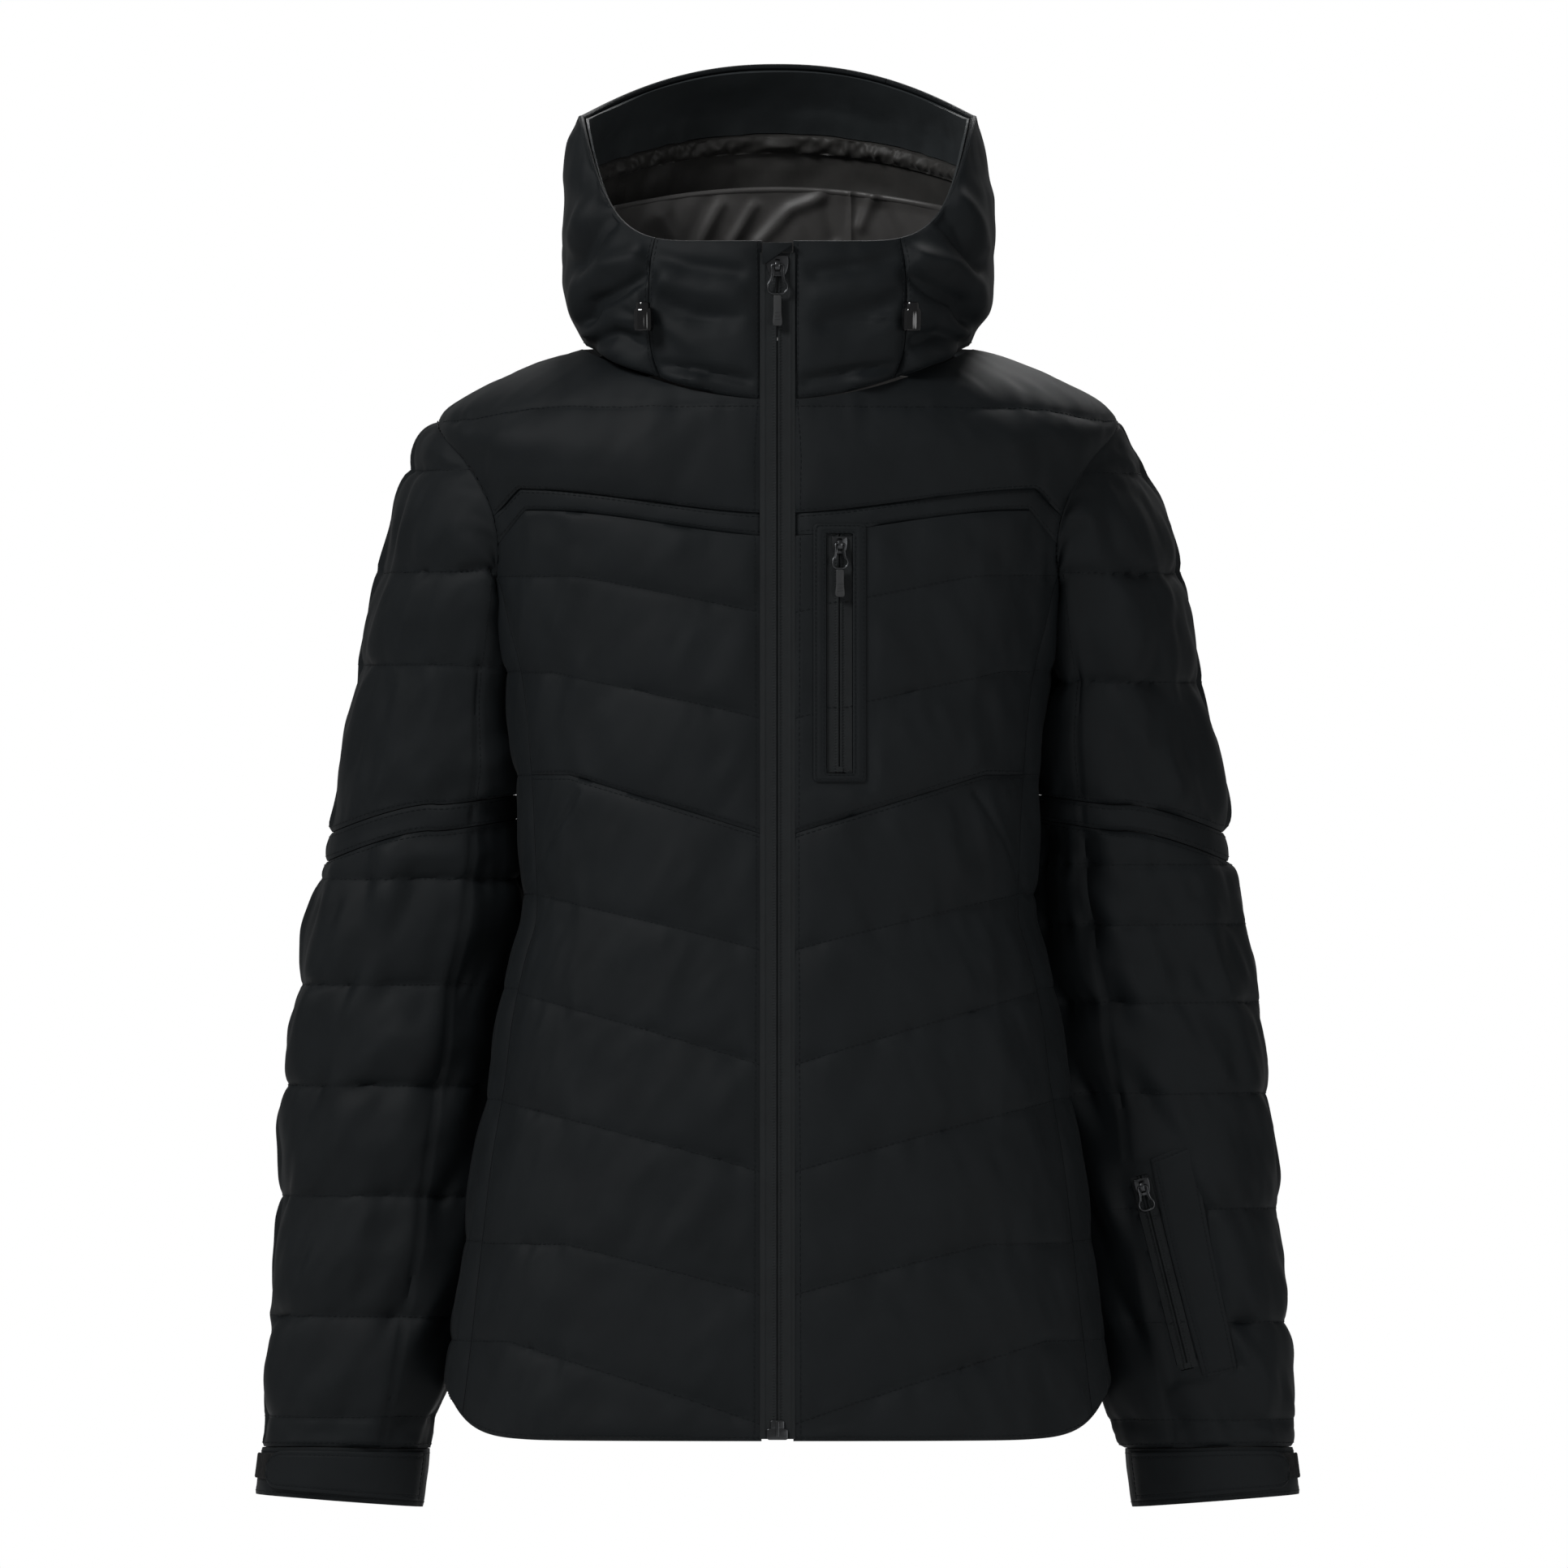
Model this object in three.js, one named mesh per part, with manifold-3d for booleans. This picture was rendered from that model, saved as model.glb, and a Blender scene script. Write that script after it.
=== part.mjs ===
// Women's hooded, insulated ski jacket, hanging open-bodied as if worn. Millimetres, +Z up.
// The front faces -Y and the wearer's left is +X. Heights are measured up from the cuff ends,
// and the finished group is moved so that its origin is the hang loop inside the back neck.
import * as THREE from 'three';
import { mergeVertices } from 'three/addons/utils/BufferGeometryUtils.js';
import Module from 'manifold-3d';

const wasm = await Module();
wasm.setup();

// ---- driving sizes ----
const seam = 0.3;             // clearance between neighbouring pieces
const shellPad = 8;           // thickness of a quilted shell panel
const hoodPad = 6;            // thickness of a hood panel
const lining = 1.6;           // thickness of a lining
const pouch = 2;              // thickness of a pocket bag lying flat
const trim = 1.2;             // thickness of tape, tabs, patches and frames
const roundness = 2.35;       // exponent of the body's cross-section
const sleeveRoundness = 2.2;  // exponent of a sleeve's cross-section
const hemHeight = 76;         // hem at the side seam
const hemDrop = 32;           // how much lower the hem is at the front and back
const shoulderHeight = 669;   // shoulder point, where the sleeve seam starts
const shoulderRise = 45;      // how much higher the neck seam lies than the shoulder point
const neckHeight = shoulderHeight + shoulderRise;
const neckDrop = 33;          // how much lower the neck seam is at the front
const neckRise = 6;           // how much higher it is at the back
const frontHemY = -148;       // centre front at the hem
const frontLean = 0.05;       // how much the centre front leans back, per millimetre of height
const zipFoot = 44;           // bottom of the main zip
const zipTop = 771;           // top of the main zip
const placket = 9.5;          // half width of the opening that the main zip fills
const sidePanelStart = 70;    // degrees from centre front to the side panel
const sidePanelEnd = 110;
const armhole = { y: 3, z: 607, depth: 68, height: 62 };
const underbust = { centre: 412, rise: 39 };
const yoke = { centre: 605, rise: 16, band: 15, corner: 0.8, fall: 36 };
const backYokeHeight = 600;
const underarmHeight = 547;
const cuffOuter = 8;
const cuffInner = 0;
const elbowAt = 0.29;         // share of the sleeve above the elbow band, at its front
const elbowTilt = 0.093;      // how much more of it lies above the band at the outer edge
const elbowBand = 0.027;      // height of the elbow band as a share of the sleeve
const cuffAt = 0.945;         // share of the sleeve above the cuff, at its front
const cuffTilt = 0.011;
const chestPocket = { x: 38, top: 599, foot: 452, halfWidth: 8, frame: 16 };
const sleevePocket = {
  top: 0.655, foot: 0.863, angleTop: 107, angleFoot: 96, halfWidth: 6.5, flapFrom: 7, flapTo: 28,
};
const handPocket = { from: 28, to: 66, low: 130, high: 300 };
const mainSlider = { length: 12, halfWidth: 6.5, face: 1.4, bailWidth: 13, bailLength: 18, pull: 19 };
const smallSlider = { length: 10, halfWidth: 4.6, face: 1.2, bailWidth: 10, bailLength: 15, pull: 17 };
const cordLock = {
  radius: 6, half: 7, bore: 4.7, boreFloor: -1.5, button: 4.4, buttonLow: 2, buttonTop: 11, share: 0.42,
};
const hoodShares = { channelLow: 0.7, channelHigh: 0.77, top: 0.995 };
const hoodRim = { front: 778, frontRise: 79, side: 857, crownRise: 35 };
const chinTurn = 34;          // degrees from centre front to the chin seam
const crownTurn = 150;        // and to the crown seam
const collar = { top: 800, arch: 14, thickness: 2 };
const hangLoop = { half: 26, reach: 13, belowNeck: 2, width: 5, thickness: 1.6 };

const shellColour = 0x212426;
const liningColour = 0x3a3633;
const trimColour = 0x15171a;
const metalColour = 0x6b6e70;
const rubberColour = 0x2c2f30;
const degree = Math.PI / 180;

const jacket = new THREE.Group();

// ---- curves ----
// A smooth curve through [position, value] pairs: cubic pieces with averaged slopes.
function profile(pairs) {
  const slopes = pairs.map((pair, i) => {
    const before = pairs[Math.max(i - 1, 0)];
    const after = pairs[Math.min(i + 1, pairs.length - 1)];
    return (after[1] - before[1]) / (after[0] - before[0]);
  });
  return (at) => {
    const x = THREE.MathUtils.clamp(at, pairs[0][0], pairs[pairs.length - 1][0]);
    let i = 0;
    while (i < pairs.length - 2 && x > pairs[i + 1][0]) i += 1;
    const width = pairs[i + 1][0] - pairs[i][0];
    const t = (x - pairs[i][0]) / width;
    const low = pairs[i][1] * (1 + 2 * t) + slopes[i] * width * t;
    const high = pairs[i + 1][1] * (3 - 2 * t) + slopes[i + 1] * width * (t - 1);
    return low * (1 - t) * (1 - t) + high * t * t;
  };
}

const smooth = (t) => THREE.MathUtils.smoothstep(t, 0, 1);
const lerp = THREE.MathUtils.lerp;
const bend = (value, power) => Math.sign(value) * Math.abs(value) ** power;

// half width, back depth and centre of the body at each height
const bodyHalf = profile([[hemHeight, 205], [149, 194], [214, 186], [259, 178], [304, 172], [339, 164],
  [364, 157], [409, 158], [449, 160], [509, 166], [545, 175], [579, 183], [610, 193], [645, 204],
  [shoulderHeight, 209], [neckHeight - 22, 176], [neckHeight, 121]]);
const bodyBack = profile([[hemHeight, 128], [214, 122], [364, 112], [509, 122], [600, 118],
  [shoulderHeight, 106], [neckHeight, 95]]);
const bodyCentre = profile([[hemHeight, -22], [364, -22], [509, -18], [600, -8],
  [shoulderHeight, 0], [neckHeight, 0]]);
const frontLine = (z) => frontHemY + (z - zipFoot) * frontLean;

// Body: turn runs in degrees from centre front towards the wearer's left, height up the side.
function bodyPoint(turn, height) {
  const across = bend(Math.sin(turn * degree), 2 / roundness);
  const along = bend(Math.cos(turn * degree), 2 / roundness);
  const front = along > 0;
  const hemShare = smooth((160 - height) / (160 - hemHeight));
  const neckShare = smooth((height - 600) / (neckHeight - 600));
  const level = 1 - across * across;
  const z = height - hemDrop * hemShare * (1 - Math.abs(across) ** 16)
    + (front ? -neckDrop : neckRise) * neckShare * level;
  const centre = bodyCentre(height);
  const centreFront = height - hemDrop * hemShare - neckDrop * neckShare;
  const reach = front ? centre - frontLine(centreFront) : bodyBack(height);
  return new THREE.Vector3(bodyHalf(height) * across, centre - reach * along, z);
}

// The turn at which the body's surface has this x, at a height.
function turnAt(x, height) {
  return Math.asin(Math.min(1, (x / bodyHalf(height)) ** (roundness / 2))) / degree;
}

// Where the body's side meets a point of the armhole oval.
function armholePoint(angle) {
  const y = armhole.y - armhole.depth * Math.sin(angle);
  const z = armhole.z + armhole.height * Math.cos(angle);
  const offset = y - bodyCentre(z);
  const reach = offset < 0 ? bodyCentre(z) - frontLine(z) : bodyBack(z);
  const share = Math.min(Math.abs(offset) / reach, 0.999);
  return new THREE.Vector3(bodyHalf(z) * (1 - share ** roundness) ** (1 / roundness), y, z);
}

const outerEdge = profile([[0, 323], [39, 318], [89, 314], [179, 306], [264, 300], [324, 293], [394, 280],
  [464, 268], [529, 255], [575, 246], [609, 238], [649, 223], [shoulderHeight, 211]]);
const innerEdge = profile([[0, 218], [34, 214], [76, 206], [104, 199], [149, 189], [214, 179], [259, 170],
  [304, 165.5], [330, 160.5], [364, 156], [400, 156], [440, 158], [480, 162], [520, 170],
  [underarmHeight, 177]]);
const sleeveDepth = profile([[0, 68], [0.15, 67], [0.35, 60], [0.6, 51], [0.85, 40], [1, 35]]);
const sleeveCentre = profile([[0, 3], [0.12, 22], [0.3, 32], [0.7, 30], [1, 26]]);

// Sleeve: angle 0 at the outer edge, 90 at the front, 180 at the inner edge; share 0 at the armhole.
function sleevePoint(turn, share) {
  const angle = turn * degree;
  const zOut = lerp(shoulderHeight, cuffOuter, share);
  const zIn = lerp(underarmHeight, cuffInner, share);
  const outward = new THREE.Vector3(outerEdge(zOut), 0, zOut);
  const inward = new THREE.Vector3(innerEdge(zIn), 0, zIn);
  const across = bend(Math.cos(angle), 2 / sleeveRoundness);
  const along = bend(Math.sin(angle), 2 / sleeveRoundness);
  const point = outward.clone().add(inward).multiplyScalar(0.5);
  point.addScaledVector(outward.sub(inward), 0.5 * across);
  point.y = sleeveCentre(share) - sleeveDepth(share) * along;
  const hold = 1 - smooth(share / 0.16);
  if (hold > 0) point.lerp(armholePoint(angle), hold);
  return point;
}

// Hood and collar: turn as on the body, share 0 at the neck seam and 1 at the rim.
const hoodHalf = profile([[0, 120], [0.2, 129], [0.55, 131], [0.85, 129], [1, 125]]);
const hoodBack = profile([[0, 95], [0.25, 122], [0.55, 138], [0.85, 118], [1, 94]]);
function hoodPoint(turn, share) {
  const across = bend(Math.sin(turn * degree), 2 / roundness);
  const along = bend(Math.cos(turn * degree), 2 / roundness);
  const front = along > 0;
  const width = Math.abs(across);
  const base = neckHeight + (front ? -neckDrop : neckRise) * (1 - width * width);
  const rim = front
    ? hoodRim.front + hoodRim.frontRise * width ** 7
    : hoodRim.side + hoodRim.crownRise * (1 - width ** 2.2);
  const z = lerp(base, rim, share);
  const bulge = 12 * Math.sin(Math.PI * share) * smooth((width - 0.3) / 0.5);
  const centreFront = frontLine(lerp(neckHeight - neckDrop, hoodRim.front, share));
  const reach = front ? bulge - centreFront : hoodBack(share);
  return new THREE.Vector3(hoodHalf(share) * across, -reach * along, z);
}

const mirrored = (surface, side) => (u, v) => surface(u, v).multiply(new THREE.Vector3(side, 1, 1));

// ---- solids ----
function outwardAt(surface, u, v, stepU, stepV) {
  const alongU = surface(u + stepU, v).sub(surface(u - stepU, v));
  const alongV = surface(u, v + stepV).sub(surface(u, v - stepV));
  return alongU.cross(alongV).normalize();
}

// A curved panel: place(s, t) gives the surface's own coordinates, face and back are depths under it.
function panel(surface, place, face, thickness, across, up, steps = [0.5, 0.5]) {
  const geometry = new THREE.BoxGeometry(1, 1, 1, across, up, 1);
  const position = geometry.attributes.position;
  for (let i = 0; i < position.count; i += 1) {
    const [u, v] = place(position.getX(i) + 0.5, position.getY(i) + 0.5);
    const depth = position.getZ(i) > 0 ? face : face + thickness;
    const outward = outwardAt(surface, u, v, steps[0], steps[1]);
    const point = surface(u, v).addScaledVector(outward, -depth);
    position.setXYZ(i, point.x, point.y, point.z);
  }
  return geometry;
}

// A ring wall around a sleeve between two edges, each giving a share at every turn.
function sleeveWall(from, to, face, thickness, around, up) {
  const corners = [];
  for (let i = 0; i <= up; i += 1) corners.push(new THREE.Vector2(2, i / up));
  for (let i = up; i >= 0; i -= 1) corners.push(new THREE.Vector2(1, i / up));
  corners.push(corners[0].clone());
  const geometry = new THREE.LatheGeometry(corners, around);
  const position = geometry.attributes.position;
  for (let i = 0; i < position.count; i += 1) {
    const step = Math.round(Math.atan2(position.getX(i), position.getZ(i)) / (2 * Math.PI) * around);
    const turn = ((around - step) % around) * 360 / around;
    const share = lerp(to(turn), from(turn), position.getY(i));
    const outer = Math.hypot(position.getX(i), position.getZ(i)) > 1.5;
    const outward = outwardAt(sleevePoint, turn, share, -1, -0.004);
    const point = sleevePoint(turn, share).addScaledVector(outward, -(outer ? face : face + thickness));
    position.setXYZ(i, point.x, point.y, point.z);
  }
  return geometry;
}

function merged(geometry) {
  const bare = geometry.clone();
  bare.deleteAttribute('normal');
  bare.deleteAttribute('uv');
  return mergeVertices(bare, 1e-3);
}

function asSolid(geometry) {
  const bare = merged(geometry);
  return new wasm.Manifold(new wasm.Mesh({
    numProp: 3,
    vertProperties: new Float32Array(bare.attributes.position.array),
    triVerts: new Uint32Array(bare.index.array),
  }));
}

function asGeometry(solid) {
  const mesh = solid.getMesh();
  const geometry = new THREE.BufferGeometry();
  geometry.setAttribute('position', new THREE.BufferAttribute(mesh.vertProperties, 3));
  geometry.setIndex(new THREE.BufferAttribute(mesh.triVerts, 1));
  return geometry;
}

const join = (...pieces) => asGeometry(pieces.map(asSolid).reduce((all, next) => all.add(next)));

function cut(body, ...tools) {
  return asGeometry(tools.map(asSolid).reduce((rest, next) => rest.subtract(next), asSolid(body)));
}

// Reflecting a piece to the wearer's right also turns its triangles round.
function reflect(geometry) {
  const other = merged(geometry);
  other.scale(-1, 1, 1);
  const index = other.index.array;
  for (let i = 0; i < index.length; i += 3) [index[i], index[i + 1]] = [index[i + 1], index[i]];
  return other;
}

function add(name, geometry, colour, metal = 0) {
  const roughness = metal ? 0.35 : 0.8;
  const material = new THREE.MeshStandardMaterial({ color: colour, roughness, metalness: metal });
  const mesh = new THREE.Mesh(geometry, material);
  mesh.name = name;
  jacket.add(mesh);
}

function addPair(name, geometry, colour) {
  add(`${name}_left`, geometry, colour);
  add(`${name}_right`, reflect(geometry), colour);
}

function box(width, depth, height, x, y, z) {
  return new THREE.BoxGeometry(width, depth, height).translate(x, y, z);
}

// ---- body shell ----
const armholePlug = new THREE.CylinderGeometry(1, 1, 160, 40)
  .rotateZ(Math.PI / 2)
  .scale(1, armhole.depth + seam, armhole.height + seam)
  .translate(215, armhole.y, armhole.z);
const otherPlug = reflect(armholePlug);

const seamHeight = (width) => underbust.centre + underbust.rise * Math.min(width / 0.8, 1);
function bandHeight(width) {
  const rise = yoke.rise * smooth(width / 0.75);
  return yoke.centre + rise - yoke.fall * Math.max(0, (width - yoke.corner) / (1 - yoke.corner));
}
const widthAt = (turn) => Math.abs(bend(Math.sin(turn * degree), 2 / roundness));

const sideGap = 0.12;         // degrees of turn between two panels at an upright seam

// Turns at which every panel of a row has its columns, so that a seam's two edges match.
const frontColumns = ['placket', 12, 24, 36, 47, 53, 58, 64, sidePanelStart];
const yokeColumns = [...frontColumns.slice(0, -1), sidePanelStart - sideGap, 80, 90];
const sideColumns = [sidePanelStart, 80, 90, 100, sidePanelEnd];

function evenColumns(from, to, count) {
  return Array.from({ length: count + 1 }, (_, i) => lerp(from, to, i / count));
}

// A body panel between two seams whose heights follow the share of the half width.
function bodyPanel(columns, low, high, up, face = 0, thickness = shellPad) {
  const last = columns.length - 1;
  const place = (s, t) => {
    const column = Math.round(s * last);
    const placketEdge = columns[column] === 'placket';
    const gap = column === last ? -sideGap : 0;
    const start = column === 0 ? sideGap : 0;
    const turn = placketEdge ? 0 : columns[column] + gap + start;
    const width = placketEdge ? 0.08 : widthAt(turn);
    const height = lerp(low(width), high(width), t);
    return [placketEdge ? turnAt(placket, height) : turn, height];
  };
  return panel(bodyPoint, place, face, thickness, last, up);
}

const at = (height) => () => height;
// half of a seam's gap, which grows with the pad and the depth: such panels twist more at their edges
const half = 0.15 * (shellPad / 8) * (frontHemY / 148) ** 2;
const bandLow = (width) => bandHeight(width) - yoke.band / 2;
const bandHigh = (width) => bandHeight(width) + yoke.band / 2;
const backTurn = 360 - sidePanelEnd;
const backColumns = evenColumns(sidePanelEnd, backTurn, 14);
const frontYoke = bodyPanel(yokeColumns, (w) => bandHigh(w) + 2 * half, at(neckHeight), 7);
const yokeWelt = bodyPanel(frontColumns, (w) => bandLow(w) + half, (w) => bandHigh(w) - half, 2);
const chestPanel = bodyPanel(frontColumns, (w) => seamHeight(w) + half, (w) => bandLow(w) - half, 8);
const lowerFront = bodyPanel(frontColumns, at(hemHeight), (w) => seamHeight(w) - half, 12);
const sidePanel = bodyPanel(sideColumns, at(hemHeight), at(backYokeHeight - half), 14);
const backPanel = bodyPanel(backColumns, at(hemHeight), at(backYokeHeight - half), 14);
const backYoke = bodyPanel(evenColumns(90, 270, 16), at(backYokeHeight + half), at(neckHeight), 7);

// ---- zips ----
// Frame of a zip: z runs up it, x across it and -y outwards; the origin is at its top.
function zipFrame(top, foot, outward) {
  const up = top.clone().sub(foot).normalize();
  const across = up.clone().cross(outward).normalize();
  const inward = up.clone().cross(across);
  return new THREE.Matrix4().makeBasis(across, inward, up).setPosition(top);
}

// An outline in x and depth, carried up the zip from low to high.
function alongZip(outline, low, high) {
  const shape = new THREE.Shape(outline.map(([x, depth]) => new THREE.Vector2(x, depth)));
  const geometry = new THREE.ExtrudeGeometry(shape, { depth: high - low, bevelEnabled: false });
  return geometry.translate(0, 0, low);
}

// An outline in depth and height, carried across the zip.
function acrossZip(outline, width) {
  const shape = new THREE.Shape(outline.map(([depth, z]) => new THREE.Vector2(depth, z)));
  const geometry = new THREE.ExtrudeGeometry(shape, { depth: width, bevelEnabled: false });
  const axes = new THREE.Matrix4().makeBasis(
    new THREE.Vector3(0, 1, 0), new THREE.Vector3(0, 0, 1), new THREE.Vector3(1, 0, 0),
  );
  return geometry.applyMatrix4(axes).translate(-width / 2, 0, 0);
}

const slot = 0.6;             // half of the space between the two rows of teeth
const tapeFace = 0.6;         // how deep the tape lies under the surface
const toothDepth = 1.3;       // how far the teeth stand behind the tape
const toothWidth = 2.6;
const bailWire = 1.6;
const pullThickness = 2.6;
function tapeOutline(edge) {
  const back = tapeFace + trim;
  return [[slot, tapeFace], [edge, tapeFace], [edge, back],
    [slot + toothWidth, back], [slot + toothWidth, back + toothDepth], [slot, back + toothDepth]];
}

// The slider: a front and a back plate joined by a web that runs between the rows, and an arch for the bail.
function sliderBody(size) {
  const w = size.halfWidth;
  const web = slot - seam;
  const front = tapeFace - seam;
  const back = tapeFace + trim + toothDepth + seam;
  const plates = alongZip([[-w, -size.face], [w, -size.face], [w, front], [web, front], [web, back],
    [w, back],
    [w, back + 1], [-w, back + 1], [-w, back], [-web, back], [-web, front], [-w, front]], -size.length, 0);
  const archHalf = 3;
  const top = -size.face - 4.4;
  const foot = -size.length / 2;
  const arch = acrossZip([[-size.face + 0.5, foot - archHalf], [-size.face + 0.5, foot + archHalf],
    [top, foot + archHalf - 1], [top, foot - archHalf + 1]], 3);
  const hole = new THREE.CylinderGeometry(1.45, 1.45, 6, 12).rotateZ(Math.PI / 2)
    .translate(0, bailDepth(size), foot);
  return join(plates, cut(arch, hole));
}
const bailDepth = (size) => -size.face - 1.9;
const bailPivot = (size) => new THREE.Vector3(0, bailDepth(size), -size.length / 2);

// The wire bail: a teardrop ring hanging from its top bar, which turns in the slider's arch.
function bail(size) {
  const w = size.bailWidth / 2;
  const low = -size.bailLength;
  const drop = (inset) => {
    const flank = new THREE.QuadraticBezierCurve(
      new THREE.Vector2(w - inset, bailWire / 2 - inset),
      new THREE.Vector2(w - inset, low * 0.55),
      new THREE.Vector2(2.6 - inset, low + inset),
    ).getPoints(5);
    return [...flank, ...flank.map((point) => new THREE.Vector2(-point.x, point.y)).reverse()];
  };
  const plate = (inset, thickness) => new THREE.ExtrudeGeometry(
    new THREE.Shape(drop(inset)),
    { depth: thickness, bevelEnabled: false },
  ).translate(0, 0, -thickness / 2);
  const ring = cut(plate(0, bailWire), plate(bailWire, 2 * bailWire));
  return ring.rotateX(Math.PI / 2).translate(0, bailDepth(size), -size.length / 2);
}

// The rubber pull, moulded round the foot of the bail.
function pull(size) {
  const top = -size.length / 2 - size.bailLength - seam;
  const outline = [[-2.2, top], [2.2, top], [3, top - 4], [3, top - size.pull + 1], [2, top - size.pull],
    [-2, top - size.pull], [-3, top - size.pull + 1], [-3, top - 4]];
  const shape = new THREE.Shape(outline.map(([x, z]) => new THREE.Vector2(x, z)));
  const geometry = new THREE.ExtrudeGeometry(shape, { depth: pullThickness, bevelEnabled: false });
  return geometry.translate(0, 0, -pullThickness / 2).rotateX(Math.PI / 2).translate(0, bailDepth(size), 0);
}

function addSlider(name, size, frame, rubberPull = true) {
  add(`${name}_slider`, sliderBody(size).applyMatrix4(frame), metalColour, 1);
  add(`${name}_bail`, bail(size).applyMatrix4(frame), metalColour, 1);
  if (rubberPull) add(`${name}_pull`, pull(size).applyMatrix4(frame), rubberColour);
}

// ---- main zip ----
const mainTop = new THREE.Vector3(0, frontLine(zipTop), zipTop);
const mainFoot = new THREE.Vector3(0, frontLine(zipFoot), zipFoot);
const mainFrame = zipFrame(mainTop, mainFoot, new THREE.Vector3(0, -1, 0));
const mainLength = mainTop.distanceTo(mainFoot);
const boxHeight = 13;
const mainTape = alongZip(tapeOutline(placket - seam), -mainLength + boxHeight, 0);
add('main_zip_tape_left', mainTape.clone().applyMatrix4(mainFrame), trimColour);
add('main_zip_tape_right', reflect(mainTape).applyMatrix4(mainFrame), trimColour);
const zipBox = box(13, 4.6, boxHeight - 2 * seam, 0, 1, -mainLength + boxHeight / 2);
add('main_zip_box', zipBox.applyMatrix4(mainFrame), metalColour, 1);
const belowTop = new THREE.Matrix4().makeTranslation(0, 0, -2);
addSlider('main', mainSlider, mainFrame.clone().multiply(belowTop));
const garageHeight = 6;
const garageHalf = placket - seam;
const garage = new THREE.Shape([
  new THREE.Vector2(-garageHalf, garageHeight), new THREE.Vector2(-garageHalf, seam),
  new THREE.Vector2(garageHalf, seam), new THREE.Vector2(garageHalf, garageHeight),
]);
const garageSolid = new THREE.ExtrudeGeometry(garage, { depth: 3, bevelEnabled: false }).rotateX(Math.PI / 2);
add('zip_garage', garageSolid.translate(0, 2.4, 0).applyMatrix4(mainFrame), shellColour);

// ---- body shell nodes ----
const chestTop = bodyPoint(turnAt(chestPocket.x, chestPocket.top), chestPocket.top);
const chestFoot = bodyPoint(turnAt(chestPocket.x, chestPocket.foot), chestPocket.foot);
const chestMiddle = (chestPocket.top + chestPocket.foot) / 2;
const chestOutward = outwardAt(bodyPoint, turnAt(chestPocket.x, chestMiddle), chestMiddle, 0.5, 0.5);
const chestFrame = zipFrame(chestTop, chestFoot, chestOutward);
const chestLength = chestTop.distanceTo(chestFoot);
const windowDepth = 30;
const windowOf = (size, length, frame) =>
  box(2 * size.halfWidth, windowDepth, length, 0, windowDepth / 6, -length / 2).applyMatrix4(frame);
const chestWindow = windowOf(chestPocket, chestLength, chestFrame);

addPair('front_yoke', cut(frontYoke, armholePlug), shellColour);
addPair('yoke_welt', cut(yokeWelt, armholePlug), shellColour);
add('chest_panel_left', cut(chestPanel, armholePlug, chestWindow), shellColour);
add('chest_panel_right', reflect(cut(chestPanel, armholePlug)), shellColour);
addPair('lower_front', lowerFront, shellColour);
addPair('side_panel', cut(sidePanel, armholePlug), shellColour);
add('back_panel', cut(backPanel, armholePlug, otherPlug), shellColour);
add('back_yoke', cut(backYoke, armholePlug, otherPlug), shellColour);

// body lining: one open-fronted sheet with the armholes cut from it, behind the pocket bags
const bagFace = shellPad + 1;
const liningFace = bagFace + pouch + 1;
const liningStart = 10;
const liningColumns = evenColumns(liningStart, 360 - liningStart, 26);
const bodyLining = bodyPanel(liningColumns, at(hemHeight + 2), at(neckHeight - 14), 13, liningFace, lining);
add('body_lining', cut(bodyLining, armholePlug, otherPlug), liningColour);

// chest pocket: a stitched frame round the window, the zip in it and the bag behind
const frameHalf = chestPocket.frame;
const frameSheet = panel(bodyPoint, (s, t) => {
  const height = lerp(chestPocket.foot - 5, chestPocket.top - 1, t);
  return [turnAt(chestPocket.x + lerp(-frameHalf, frameHalf, s), height), height];
}, -seam - trim, trim, 4, 10);
add('chest_pocket_frame', cut(frameSheet, chestWindow), shellColour);

// both tapes of a short zip, joined by the stop at its foot
function closedTape(halfWidth, length) {
  const tape = alongZip(tapeOutline(halfWidth - seam), -length + seam, -seam);
  const stop = alongZip([[-2, 1], [2, 1], [2, 1.8], [-2, 1.8]], -length + seam, -length + 4);
  return join(tape, reflect(tape), stop);
}
add('chest_zip_tape', closedTape(chestPocket.halfWidth, chestLength).applyMatrix4(chestFrame), trimColour);
addSlider('chest', smallSlider, chestFrame.clone().multiply(belowTop));
const bagReach = { below: 18, toCentre: 14, toSide: 78 };
const chestBag = panel(bodyPoint, (s, t) => {
  const height = lerp(chestPocket.foot - bagReach.below, chestPocket.top - 8, t);
  return [turnAt(chestPocket.x + lerp(-bagReach.toCentre, bagReach.toSide, s), height), height];
}, bagFace, pouch, 5, 6);
add('chest_pocket_bag', chestBag, liningColour);

// hand pockets: flat bags between shell and lining, opening at the side seam
const handBag = panel(bodyPoint, (s, t) => {
  const height = lerp(handPocket.low, handPocket.high, t);
  return [lerp(handPocket.from, handPocket.to, s), height];
}, bagFace, pouch, 5, 6);
addPair('hand_pocket_bag', handBag, liningColour);

// ---- sleeves ----
const around = 20;
const armholeGap = 0.008;
const shareGap = shellPad / 8000;    // between two pieces of a sleeve
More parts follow.
